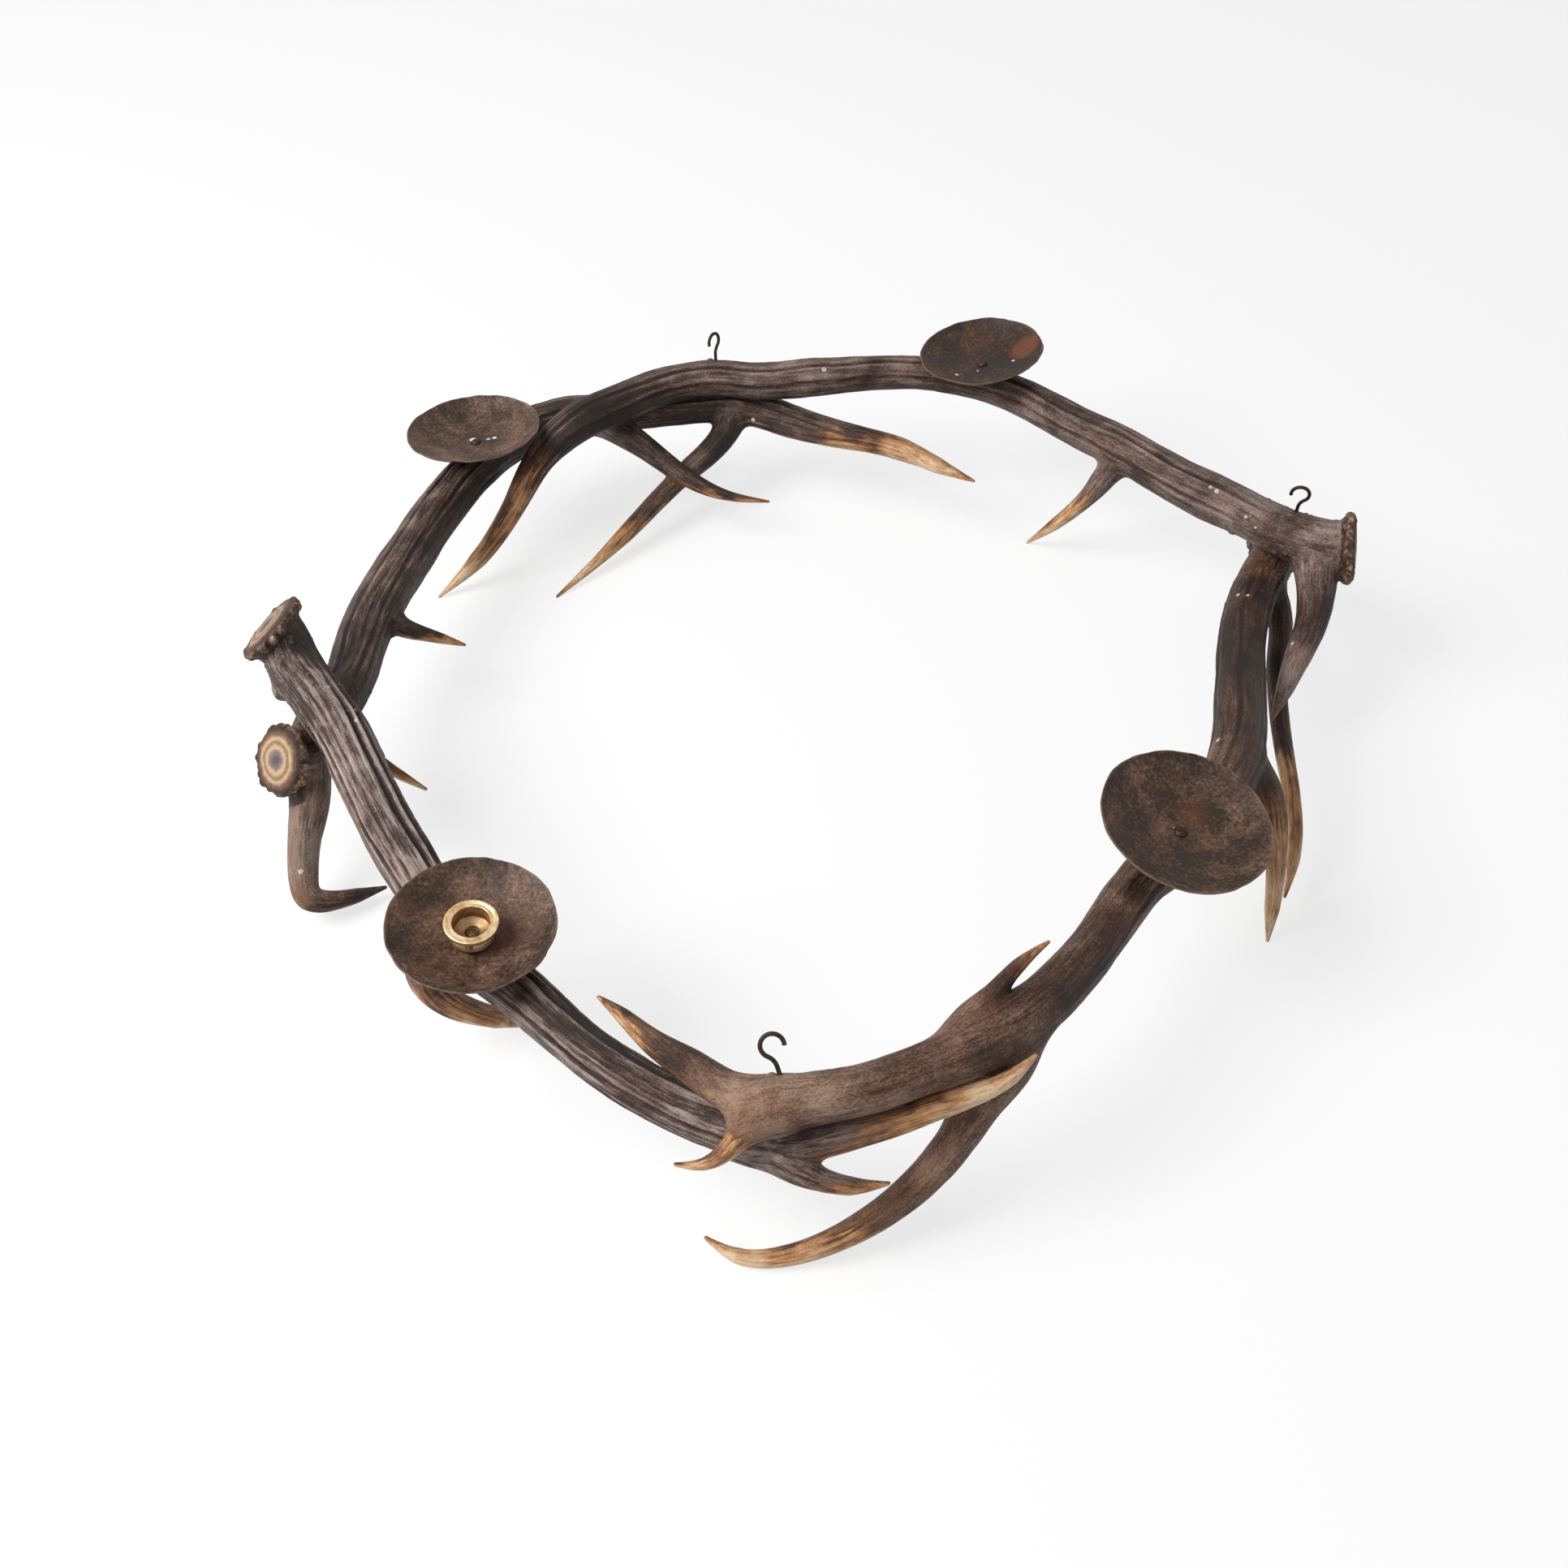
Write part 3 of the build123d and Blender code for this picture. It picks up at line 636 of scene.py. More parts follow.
def settled(piece):
    """The piece's mesh with its modifiers worked out, and no modifier left on it."""
    bpy.context.view_layer.update()
    seen = piece.evaluated_get(bpy.context.evaluated_depsgraph_get())
    mesh = bpy.data.meshes.new_from_object(seen)
    old = piece.data
    piece.modifiers.clear()
    piece.data = mesh
    if old.users == 0:
        bpy.data.batch_remove([old])
    return mesh


def run_tree(piece, tree, values):
    """Puts a node tree with these named values on a piece and settles it."""
    step = piece.modifiers.new(tree.name, "NODES")
    step.node_group = tree
    for name, value in values.items():
        step[socket_named(tree, name)] = value
    return settled(piece)


def corners(mesh):
    """A mesh's vertices as rows."""
    flat = np.empty(len(mesh.vertices) * 3, np.float32)
    mesh.vertices.foreach_get("co", flat)
    return flat.reshape(-1, 3).astype(float)


def mark(mesh, name, values):
    """Stores a number or a vector for every vertex under a name."""
    kind = "FLOAT" if values.ndim == 1 else "FLOAT_VECTOR"
    field = mesh.attributes.new(name, kind, "POINT")
    key = "value" if values.ndim == 1 else "vector"
    field.data.foreach_set(key, values.astype(np.float32).ravel())


def smooth(mesh):
    """Shades a mesh smoothly."""
    mesh.polygons.foreach_set("use_smooth", np.ones(len(mesh.polygons), bool))
    mesh.update()


GROWING = growing_tree()


# ------------------------------------------------------------------ shaping an antler
class Burr:
    """The coronet and sawn face at the thick end of an antler."""

    def __init__(self, beam, facing, across, seed):
        self.facing = unit(facing)
        self.face = beam.middle[0] + self.facing * CORONET_HEIGHT / 2
        self.rim = across / 2
        self.right = unit(np.cross(self.facing, (0, 0, 1)))
        self.up = np.cross(self.right, self.facing)
        self.seed = seed

    def polar(self, points):
        """Height over the sawn face, distance from its middle, and angle round it."""
        arm = points - self.face
        height = arm @ self.facing
        flat = arm - height[:, None] * self.facing
        return height, np.linalg.norm(flat, axis=1), np.arctan2(flat @ self.up, flat @ self.right)

    def look(self, points):
        """How far points lie outside the coronet's disc, and which way out."""
        height, far, angle = self.polar(points)
        turn = np.stack([np.cos(angle), np.sin(angle), np.zeros_like(angle)], 1)
        lumps = CORONET_LUMP * noise(turn * CORONET_LUMPS, self.seed)
        reach = self.rim - CORONET_SINK + lumps - CORONET_BEAD
        core = CORONET_HEIGHT * CORONET_CORE
        sideways = far - reach
        upright = np.abs(height + core) - (core - CORONET_BEAD * 0.8)
        outside = np.hypot(np.maximum(sideways, 0), np.maximum(upright, 0))
        gap = outside + np.minimum(np.maximum(sideways, upright), 0) - CORONET_BEAD
        arm = points - self.face
        flat = arm - height[:, None] * self.facing
        flat /= np.maximum(far, TINY)[:, None]
        lift = np.sign(height + core)[:, None] * self.facing
        lean = np.where(upright > sideways, 1.0, 0.0)
        round_off = (sideways > 0) & (upright > 0)
        slant = upright / np.maximum(outside, TINY)
        lean = np.where(round_off, slant**2, lean)[:, None]
        out = flat * np.sqrt(1 - lean) + lift * np.sqrt(lean)
        return gap, out

    def sawn_off(self, points, gap, out):
        """Cuts the shape off at the slightly domed, porous sawn face."""
        height, far, angle = self.polar(points)
        flat = np.stack([far * np.cos(angle), far * np.sin(angle), 0 * far], 1)
        dome = CORONET_RISE * (1 - np.minimum(far / self.rim, 1) ** 2)
        pits = SAW_PIT * rough(flat / SAW_PIT_SIZE, self.seed + 21, 3) * ramp(self.rim - far, 0, 5)
        lip = SAW_LIP * ramp(far, self.rim - SAW_LIP_INSIDE, self.rim - SAW_LIP_OUTSIDE)
        over = height - dome - pits - lip
        cut = (over > gap) & (far < self.rim + SAW_REACH) & (height > -SAW_DEPTH)
        gap = np.where(cut, over, gap)
        return gap, np.where(cut[:, None], self.facing, out)

    def knobs(self, beam):
        """The pearls round the rim and the smaller ones on the neck behind it."""
        dice = np.random.default_rng(self.seed)
        middles = []
        radii = []
        for i in range(CORONET_PEARLS):
            turn = 2 * math.pi * (i + dice.uniform(-0.3, 0.3)) / CORONET_PEARLS
            out = math.cos(turn) * self.right + math.sin(turn) * self.up
            size = dice.uniform(*CORONET_PEARL)
            back = dice.uniform(0.20, 0.62) * CORONET_HEIGHT
            middles.append(self.face + out * (self.rim - size * 0.75) - self.facing * back)
            radii.append(size)
        for _ in range(NECK_PEARLS):
            travel = NECK_START + NECK_REACH * dice.uniform(0, 1) ** 1.7
            i = int(np.searchsorted(beam.travel, travel))
            turn = dice.uniform(0, 2 * math.pi)
            out = math.cos(turn) * beam.side[i] + math.sin(turn) * beam.across[i]
            size = dice.uniform(*NECK_PEARL) * (1 - 0.35 * travel / NECK_REACH)
            middles.append(beam.middle[i] + out * (beam.radius[i] - size * 0.35))
            radii.append(size)
        return middles, radii


def relief(grain, calm, seed, rugged):
    """Slow swellings of an antler's skin, and its grooves and ridges along the grain, in
    millimetres."""
    swell = SWELLING * rough(grain * SWELLING_WAVES, seed, 2)
    wander = grain + WANDER * noise(grain / WANDER_LENGTHS, seed + 9)[:, None] * [1, 1, 0]
    groove = np.abs(noise(wander * GROOVE_WAVES, seed + 3))
    deep = -GROOVE * (1 - ramp(groove, 0.0, GROOVE_WIDTH))
    ridges = RIDGE * rough(wander * RIDGE_WAVES, seed + 4, 2)
    grit = GRIT * noise(grain * GRIT_WAVES, seed + 6)
    fine = rugged * (deep + ridges) * (1 - 0.85 * calm) + grit * (1 - calm)
    return swell * (1 - 0.6 * calm), fine


def skin(name, grains, tine_share, sizes, calm):
    """Fine relief and slow swelling of the skin where beam and tines run into each other."""
    seed = SEEDS[name]
    thin = np.clip(sizes[0], LEAST_BEAM, FULL_RELIEF) / FULL_RELIEF
    tine_thin = np.clip(sizes[1], LEAST_TINE, FULL_RELIEF) / FULL_RELIEF
    swell, fine = relief(grains[0], calm, seed, RUGGED[name])
    fine = fine + furrowed(grains[0], FURROWS[name], seed)
    tine_swell, tine_fine = relief(grains[1], calm, seed + TINE_SEED, RUGGED[name])
    fine = fine * thin * (1 - tine_share) + tine_fine * tine_thin * tine_share
    swell = swell * thin * (1 - tine_share) + tine_swell * tine_thin * tine_share
    return fine, swell


def furrowed(grain, furrows, seed):
    """The deepest grooves of a beam, each at its own angle round it, with raised banks."""
    far = np.hypot(grain[:, 0], grain[:, 1])
    angle = np.degrees(np.arctan2(grain[:, 1], grain[:, 0]))
    along = grain[:, 2]
    total = np.zeros(len(grain))
    for number, (middle, depth, width, start, end) in enumerate(furrows):
        own = np.full(len(grain), number * 7.3)
        line = np.stack([along / FURROW_SWAY_LENGTH, own, along * 0], 1)
        sway = FURROW_SWAY * noise(line, seed + 70)
        beside = (angle - middle - sway + 180) % 360 - 180
        beside = np.radians(beside) * far
        here = ramp(along, start, start + FURROW_START) * (1 - ramp(along, end - FURROW_END, end))
        away = (np.abs(beside) - BANK_AWAY * width) / (BANK_WIDTH * width)
        bank = BANK * np.exp(-(away**2))
        total += here * depth * (bank - np.exp(-((beside / width) ** 2)))
    return total


def antler_base(name, branches, burr, knobs):
    """The rough skin: tubes along every branch, knobs, all wrapped in one even skin."""
    points = [burr.face * MM, (burr.face - burr.facing * CORONET_HEIGHT) * MM]
    edges = [(0, 1)]
    thickness = [(burr.rim - CORONET_BEAD / 2) * MM] * 2
    knob = [0.0, 0.0]
    for branch in branches:
        rows = list(range(0, len(branch.middle), TUBE_SAMPLE))
        if rows[-1] != len(branch.middle) - 1:
            rows.append(len(branch.middle) - 1)
        for count, i in enumerate(rows):
            if count:
                edges.append((len(points) - 1, len(points)))
            stout = max(branch.radius[i], STOUTEST_TIP * SKIN) * MM
            points.append(branch.middle[i] * MM)
            thickness.append(stout)
            knob.append(stout if i == rows[-1] else 0.0)
    for middle, radius in zip(knobs.middle, knobs.radius):
        points.append(middle * MM)
        thickness.append(radius * MM)
        knob.append(radius * MM)
    drawing = bpy.data.meshes.new(name)
    drawing.from_pydata([tuple(point) for point in points], edges, [])
    mark(drawing, "thickness", np.array(thickness))
    mark(drawing, "knob", np.array(knob))
    piece = shown(name, drawing)
    run_tree(piece, GROWING, {"Sides": TUBE_SIDES, "Horn": None})
    wrap = piece.modifiers.new("skin", "REMESH")
    wrap.mode = "VOXEL"
    wrap.voxel_size = SKIN * MM
    wrap.use_smooth_shade = True
    settled(piece)
    return piece


def heading(beam, spot):
    """The level direction in which a beam runs past a place."""
    far = np.linalg.norm(beam.middle[:, :2] - spot[:2], axis=1)
    i = int(np.clip(far.argmin(), HEADING_SAMPLES, len(far) - HEADING_SAMPLES - 1))
    run = beam.middle[i + HEADING_SAMPLES, :2] - beam.middle[i - HEADING_SAMPLES, :2]
    return run / np.linalg.norm(run)


def saddle(points, crossing, other_beam, on_top):
    """Cuts an antler where it crosses another: flat in the middle, hollowed beside it."""
    x, y, seat, upper, lower = crossing
    spot = np.array([x - MIDDLE_X, y - MIDDLE_Y])
    run = heading(other_beam, spot)
    arm = points[:, :2] - spot
    along = np.abs(arm @ run)
    beside = np.abs(arm @ np.array([-run[1], run[0]]))
    other = (lower if on_top else upper) / 2
    rise = other - 2 * NOTCH - np.sqrt(np.maximum(other**2 - beside**2, 0)) + NOTCH
    lift = np.maximum(rise + NOTCH - SADDLE_AIR, 0)
    near = (along < NOTCH_REACH) & (beside < other)
    height = points[:, 2]
    if on_top:
        wanted = np.maximum(height, seat + FLAT_AIR - lift)
        close = height > seat - SADDLE_HEIGHT
    else:
        wanted = np.minimum(height, seat - FLAT_AIR + lift)
        close = height < seat + SADDLE_HEIGHT
    points[:, 2] = np.where(near & close, wanted, height)
    return points


def planed(points, spot, normal):
    """Flattens the seat of a pan's collar."""
    arm = points - spot
    lift = arm @ normal
    flat = np.linalg.norm(arm - lift[:, None] * normal, axis=1)
    near = (flat < FOOT / 2 + PAN_SEAT_MARGIN) & (lift > 0) & (lift < SEAT_HEIGHT)
    return points - np.where(near, lift + SEAT_AIR, 0)[:, None] * normal


def chipped(points, chips):
    """1 in the middle of each scraped or filled spot, 0 past its edge."""
    total = np.zeros(len(points))
    for x, y, z, size in chips:
        arm = (points - np.array([x, y, z])) / size
        total = np.maximum(total, 1 - ramp((arm**2).sum(1), 0.3, 1.6))
    return total


def weathered(points, patches):
    """How much lighter or darker than the rest the skin has turned in a few places."""
    total = np.zeros(len(points))
    for x, y, z, size, amount in patches:
        arm = (points - np.array([x - MIDDLE_X, y - MIDDLE_Y, z])) / size
        total += amount * np.exp(-(arm**2).sum(1))
    return total


def grown_antler(name):
    """One antler's finished mesh, with what its material reads marked on it."""
    beam = BEAM_LINES[name]
    branches = {key: Branch(rows) for key, rows in TINES[name].items()}
    burr = Burr(beam, *BURRS[name], SEEDS[name])
    middles, radii = burr.knobs(beam)
    mounds = MOUNDS.get(name, [])
    knobs = Pearls(middles + [spot for spot, _ in mounds], radii + [size for _, size in mounds])
    piece = antler_base(f"antler_{name}_grown", [beam, *branches.values()], burr, knobs)
    gilding = GILDING[name]
    beam_start, beam_end, beam_amount = gilding["beam"]
    points = corners(piece.data) / MM
    for turn in range(SHAPING_TURNS):
        gap, out, index = beam.look(points)
        beam_gap = gap
        grain = beam.straight(points, index)
        nearest = np.full(len(points), FAR_OFF)
        tine_grain = np.zeros_like(points)
        tine_calm = np.zeros(len(points))
        tine_size = np.full(len(points), 10.0)
        for number, (key, tine) in enumerate(branches.items()):
            tine_gap, tine_out, tine_index = tine.look(points)
            closer = tine_gap < nearest
            straight = tine.straight(points, tine_index)
            start, end, amount = gilding[key]
            share = straight[:, 2] / tine.length()
            tine_calm[closer] = (ramp(share, start, end) * amount)[closer]
            tine_size[closer] = tine.radius[tine_index][closer]
            straight[:, 2] += TINE_OFFSET * (number + 1)
            tine_grain[closer] = straight[closer]
            nearest = np.minimum(nearest, tine_gap)
            gap, out = grown_together(gap, out, tine_gap, tine_out, WEB)
        tine_share = ramp(beam_gap - nearest, *ROOT_BLEND)
        calm = ramp(grain[:, 2], beam_start, beam_end) * beam_amount
        calm = calm * (1 - tine_share) + tine_calm * tine_share
        disc_gap, disc_out = burr.look(points)
        gap, out = grown_together(gap, out, disc_gap, disc_out, CORONET_WEB)
        if turn == 0 or turn == SHAPING_TURNS - 1:
            height, far, _ = burr.polar(points)
            quiet = np.where(far < burr.rim + 8, ramp(-height, *NECK_SMOOTH), 1.0)
            sizes = (beam.radius[index], tine_size)
            fine, swell = skin(name, (grain, tine_grain), tine_share, sizes, calm)
            fine = fine * quiet
            swell = swell * quiet
        knob_gap, knob_out = knobs.look(points)
        gap, out = grown_together(gap - fine - swell, out, knob_gap, knob_out, PEARL_WEB)
        gap, out = burr.sawn_off(points, gap, out)
        points = points - out * (gap * PULL)[:, None]
    for crossing, upper, lower in JOINTS.values():
        if name in (upper, lower):
            other = lower if name == upper else upper
            points = saddle(points, crossing, BEAM_LINES[other], name == upper)
    points = planed(points, *upright(PANS[name][1]))
    points[:, 2] = np.maximum(points[:, 2], FLOOR_AIR)
    mesh = piece.data
    mesh.vertices.foreach_set("co", (points * MM).astype(np.float32).ravel())
    height, far, _ = burr.polar(points)
    sawn = ramp(height, *SAWN_SKIN) * (far < burr.rim + 1) * (height > -SAWN_DEEPEST)
    crust = ramp(far, *[burr.rim - inside for inside in CRUST_INSIDE])
    crust = crust * ramp(height, *CRUST_BEHIND) * (far < burr.rim + SAW_REACH)
    marks = {
        "beam_grain": grain,
        "tine_grain": tine_grain,
        "tine_share": tine_share,
        "relief": fine,
        "polish": calm,
        "sawn": sawn,
        "burr_reach": np.minimum(far / burr.rim, 2),
        "pearly": ramp(-knob_gap, *PEARL_SKIN),
        "coronet": crust,
        "chips": chipped(points, CHIPS[name]),
        "weathered": weathered(points, PATCHES[name]),
        "outward": out,
    }
    for key, values in marks.items():
        mark(mesh, key, values)
    smooth(mesh)
    return piece


# ------------------------------------------------------------------ colours and finishes
def tone(red, green, blue):
    """A colour as seen on a screen, 0 to 255, in the renderer's own numbers."""
    seen = np.array([red, green, blue]) / 255
    linear = np.where(seen <= 0.04045, seen / 12.92, ((seen + 0.055) / 1.055) ** 2.4)
    return (*[float(value) for value in linear], 1.0)


def plain(colour):
    """A colour for a node: screen tones are turned into the renderer's numbers."""
    if isinstance(colour, tuple) and len(colour) == 3:
        return tone(*colour)
    return colour


class Finish:
    """A material under construction. Colours are screen tones or other nodes' outputs."""

    def __init__(self, name):
        self.material = bpy.data.materials.new(name)
        self.material.use_nodes = True
        self.tree = self.material.node_tree
        self.tree.nodes.clear()
        self.shader = put(self.tree, "ShaderNodeBsdfPrincipled")
        put(self.tree, "ShaderNodeOutputMaterial", {"Surface": self.shader.outputs["BSDF"]})

    def number(self, name):
        """A number marked on the mesh."""
        return wired(self.tree, "ShaderNodeAttribute", "Fac", attribute_name=name)

    def vector(self, name):
        """A vector marked on the mesh."""
        return wired(self.tree, "ShaderNodeAttribute", "Vector", attribute_name=name)

    def place(self):
        return wired(self.tree, "ShaderNodeTexCoord", "Object")

    def scaled(self, vector, x, y, z):
        inputs = {"Vector": vector, "Scale": (x, y, z)}
        return wired(self.tree, "ShaderNodeMapping", "Vector", inputs)

    def noise(self, vector, scale, detail=4.0, roughness=0.6, distortion=0.0):
        inputs = {
            "Vector": vector,
            "Scale": scale,
            "Detail": detail,
            "Roughness": roughness,
            "Distortion": distortion,
        }
        return wired(self.tree, "ShaderNodeTexNoise", "Fac", inputs)

    def cells(self, vector, scale):
        """Distance from the middles of small cells."""
        inputs = {"Vector": vector, "Scale": scale}
        return wired(self.tree, "ShaderNodeTexVoronoi", "Distance", inputs)

    def product(self, a, b):
        return wired(self.tree, "ShaderNodeMath", "Value", {0: a, 1: b}, operation="MULTIPLY")

    def total(self, base, *parts):
        """A base plus each value's distance from its middle, times its weight."""
        rest = base - sum(weight * middle for _, weight, middle in parts)
        for value, weight, _ in parts:
            inputs = {0: value, 1: weight, 2: rest}
            rest = wired(self.tree, "ShaderNodeMath", "Value", inputs, operation="MULTIPLY_ADD")
        return rest

    def facing(self, side):
        """How much the skin looks towards a side, from -1 to 1."""
        inputs = {0: self.vector("outward"), 1: Vector(side).normalized()}
        kind = "ShaderNodeVectorMath"
        return wired(self.tree, kind, "Value", inputs, operation="DOT_PRODUCT")

    def between(self, value, low, high, start=0.0, end=1.0):
        """Start where the value is low, end where it is high, eased between them."""
        inputs = {"Value": value, "From Min": low, "From Max": high, "To Min": start, "To Max": end}
        kind = "ShaderNodeMapRange"
        return wired(self.tree, kind, "Result", inputs, interpolation_type="SMOOTHSTEP")

    def mixed(self, share, a, b):
        return wired(self.tree, "ShaderNodeMix", 0, {0: share, 2: a, 3: b}, data_type="FLOAT")

    def painted(self, share, a, b, blend="MIX"):
        inputs = {0: share, 6: plain(a), 7: plain(b)}
        kind = "ShaderNodeMix"
        return wired(self.tree, kind, 2, inputs, data_type="RGBA", blend_type=blend)

    def washed(self, colour, value, low, high, amount, wash, blend="MIX"):
        """A colour with a wash over it that comes on as a value runs from low to high."""
        return self.painted(self.between(value, low, high, 0.0, amount), colour, wash, blend)

    def stops(self, value, *steps):
        """A colour for each value, from colours at a few of them."""
        node = put(self.tree, "ShaderNodeValToRGB", {"Fac": value})
        band = node.color_ramp.elements
        while len(band) < len(steps):
            band.new(0.5)
        for element, (at, colour) in zip(band, steps):
            element.position = at
            element.color = plain(colour)
        return node.outputs["Color"]

    def bump(self, height, depth, strength):
        inputs = {"Height": height, "Distance": depth, "Strength": strength}
        return wired(self.tree, "ShaderNodeBump", "Normal", inputs)

    def set(self, **inputs):
        """Gives the shader these inputs and returns the finished material."""
        for name, value in inputs.items():
            name = name.replace("_", " ")
            if isinstance(value, bpy.types.NodeSocket):
                self.tree.links.new(value, self.shader.inputs[name])
            else:
                self.shader.inputs[name].default_value = value
        return self.material


# Bare bone shows most on sides that look this way; painted light greys the side facing the lamp.
GILDED_SIDE = (-0.25, -0.80, -0.55)
LAMP_SIDE = (-0.75, -0.25, 0.60)
GOLD = ((70, 43, 27), (136, 88, 53), (190, 141, 97), (238, 207, 170))


def horn(name):
    """Weathered antler: dark furrows, worn ridges, and bone showing where it is polished."""
    (dark, brown, middle, light, blush), pebbled, face_level = HORNS[name]
    made = Finish(f"{name} horn")
    beam_grain = made.vector("beam_grain")
    tine_grain = made.vector("tine_grain")
    share = made.number("tine_share")
    polish = made.number("polish")
    depth = made.number("relief")
    where = made.place()

    def both(fine, long, detail, roughness, distortion=0.0):
        """Noise that runs along the beam on the beam and along the tine on a tine."""
        grains = [made.scaled(grain, fine, fine, long) for grain in (beam_grain, tine_grain)]
        return made.mixed(
            share, *[made.noise(grain, 1.0, detail, roughness, distortion) for grain in grains]
        )

    streaks = both(0.42, 0.024, 5.0, 0.62, 0.3)
    hairs = both(1.4, 0.09, 3.0, 0.6)
    grains = both(0.80, 0.45, 3.0, 0.7)
    blotches = made.noise(where, 30.0, 4.0, 0.6)
    patches = made.noise(where, 11.0, 3.0, 0.55)
    specks = made.cells(where, 560.0)
    # painted light: the skin facing the lamp is made lighter and greyer
    lamp_facing = made.facing(LAMP_SIDE)
    tint = made.total(
        0.465,
        (streaks, 1.15 - 0.75 * pebbled, 0.5),
        (hairs, 0.72 - 0.45 * pebbled, 0.5),
        (grains, 0.25 + 0.60 * pebbled, 0.5),
        (blotches, 0.85, 0.5),
        (patches, 0.45, 0.5),
        (depth, 0.24, 0.0),
        (lamp_facing, 0.11, 0.25),
        (made.number("weathered"), 1.0, 0.0),
    )
    colour = made.stops(tint, (0.22, dark), (0.40, brown), (0.56, middle), (0.84, light))
    # the blush wash goes on in patches and, as painted light, on the side facing the lamp
    patches_and_lamp_side = made.total(0.0, (patches, 2.4, 0.5), (lamp_facing, 0.5, 0.2))
    colour = made.washed(colour, patches_and_lamp_side, 0.0, 0.6, 0.40, blush, "SOFT_LIGHT")
    russet = made.noise(where, 19.0, 3.0, 0.6)
    colour = made.washed(colour, russet, 0.50, 0.66, 0.55, (120, 78, 54), "SOFT_LIGHT")
    gilded = made.facing(GILDED_SIDE)
    uneven = made.total(0.0, (streaks, 1.5, 0.5), (blotches, 1.7, 0.5), (gilded, 0.26, 0.0))
    gilding = made.total(0.0, (polish, 1.0, 0.0), (uneven, 1.0, 0.0))
    bare = made.product(made.between(gilding, 0.15, 0.60), made.between(polish, 0.0, 0.10))
    polished = made.total(0.0, (polish, 0.72, 0.0), (uneven, 0.75, 0.0), (hairs, 0.6, 0.5))
    ivory = made.stops(polished, *zip((0.08, 0.34, 0.56, 0.86), GOLD))
    colour = made.painted(bare, colour, ivory)
    pearly = made.number("pearly")
    colour = made.washed(colour, pearly, 0.35, 0.95, 0.40, light)
    crusted = made.noise(where, 240.0, 4.0, 0.7)
    rim = made.stops(
        made.total(0.40, (crusted, 1.9, 0.5), (pearly, 0.42, 0.35)),
        (0.20, (40, 27, 22)),
        (0.45, (92, 66, 52)),
        (0.68, (150, 120, 98)),
        (0.92, (212, 186, 158)),
    )
    colour = made.washed(colour, made.number("coronet"), 0.2, 0.9, 1.0, rim)
    dirt = made.between(specks, 0.04, 0.30)
    soot = made.stops(dirt, (0.0, SOOT), (1.0, (255, 255, 255)))
    colour = made.painted(made.mixed(bare, 0.30 + 0.2 * pebbled, 0.15), colour, soot, "MULTIPLY")
    coarse = made.noise(where, 40.0)
    finer = made.noise(where, 260.0)
    ragged = made.total(0.0, (coarse, 0.30, 0.5), (finer, 0.14, 0.5))
    reach = made.total(0.0, (made.number("burr_reach"), 1.0, 0.0), (ragged, 1.0, 0.0))
    rings = made.painted(face_level, made.stops(reach, *SAWN_RINGS), (84, 62, 50))
    pores = made.cells(where, 1000.0)
    rings = made.painted(made.between(pores, 0.0, 0.30, 0.55, 0.0), rings, (60, 44, 36))
    colour = made.painted(made.number("sawn"), colour, rings)
    colour = made.washed(colour, made.number("chips"), 0.35, 0.75, 1.0, (214, 198, 182))
    dull = made.total(0.52, (streaks, -0.35, 0.5), (grains, 0.25, 0.5))
    rugged = 0.35 + 0.6 * pebbled
    height = made.total(0.0, (hairs, 0.45, 0.0), (streaks, 0.8, 0.0), (grains, rugged, 0.0))
    height = made.product(height, made.mixed(bare, 1.0, 0.3))
    grit = made.noise(where, 900.0, 3.0, 0.6)
    height = made.total(0.0, (grit, 0.22, 0.0), (height, 1.0, 0.0), (dirt, 0.25, 0.0))
    return made.set(
        Base_Color=colour,
        Roughness=made.mixed(bare, dull, 0.40),
        Normal=made.bump(height, 0.0013, 0.85),
        Specular_IOR_Level=0.30,
    )


# What the specks of dirt leave of the colour under them, in the renderer's own numbers.
SOOT = (0.32, 0.27, 0.24, 1)
# The sawn face from its porous middle, past two pale rings, to its dark edge.
SAWN_RINGS = (
    (0.12, (96, 82, 82)),
    (0.28, (146, 128, 122)),
    (0.37, (222, 190, 156)),
    (0.50, (150, 116, 88)),
    (0.60, (220, 186, 148)),
    (0.72, (128, 94, 68)),
    (0.84, (70, 48, 38)),
    (0.95, (44, 30, 24)),
)
# Each antler's furrows, brown, worn ridges and scraped crests, the wash over them (laid on in
# patches and, as painted light, on the side facing the lamp), how pebbled its skin is, and how
# dark its sawn face has turned.
HORNS = {
    "front_left": (
        ((32, 21, 15), (80, 60, 51), (136, 120, 114), (186, 170, 160), (140, 118, 118)), 0.1, 0.45
    ),
    "front_right": (
        ((34, 20, 13), (74, 49, 36), (116, 88, 72), (172, 144, 124), (126, 98, 84)), 0.9, 0.7
    ),
    "back_right": (
        ((30, 18, 13), (70, 49, 39), (112, 92, 84), (172, 154, 146), (128, 102, 98)), 0.62, 0.3
    ),
    "back_left": (
        ((26, 16, 11), (62, 43, 33), (104, 85, 76), (164, 144, 132), (112, 94, 88)), 0.5, 0.10
    ),
}


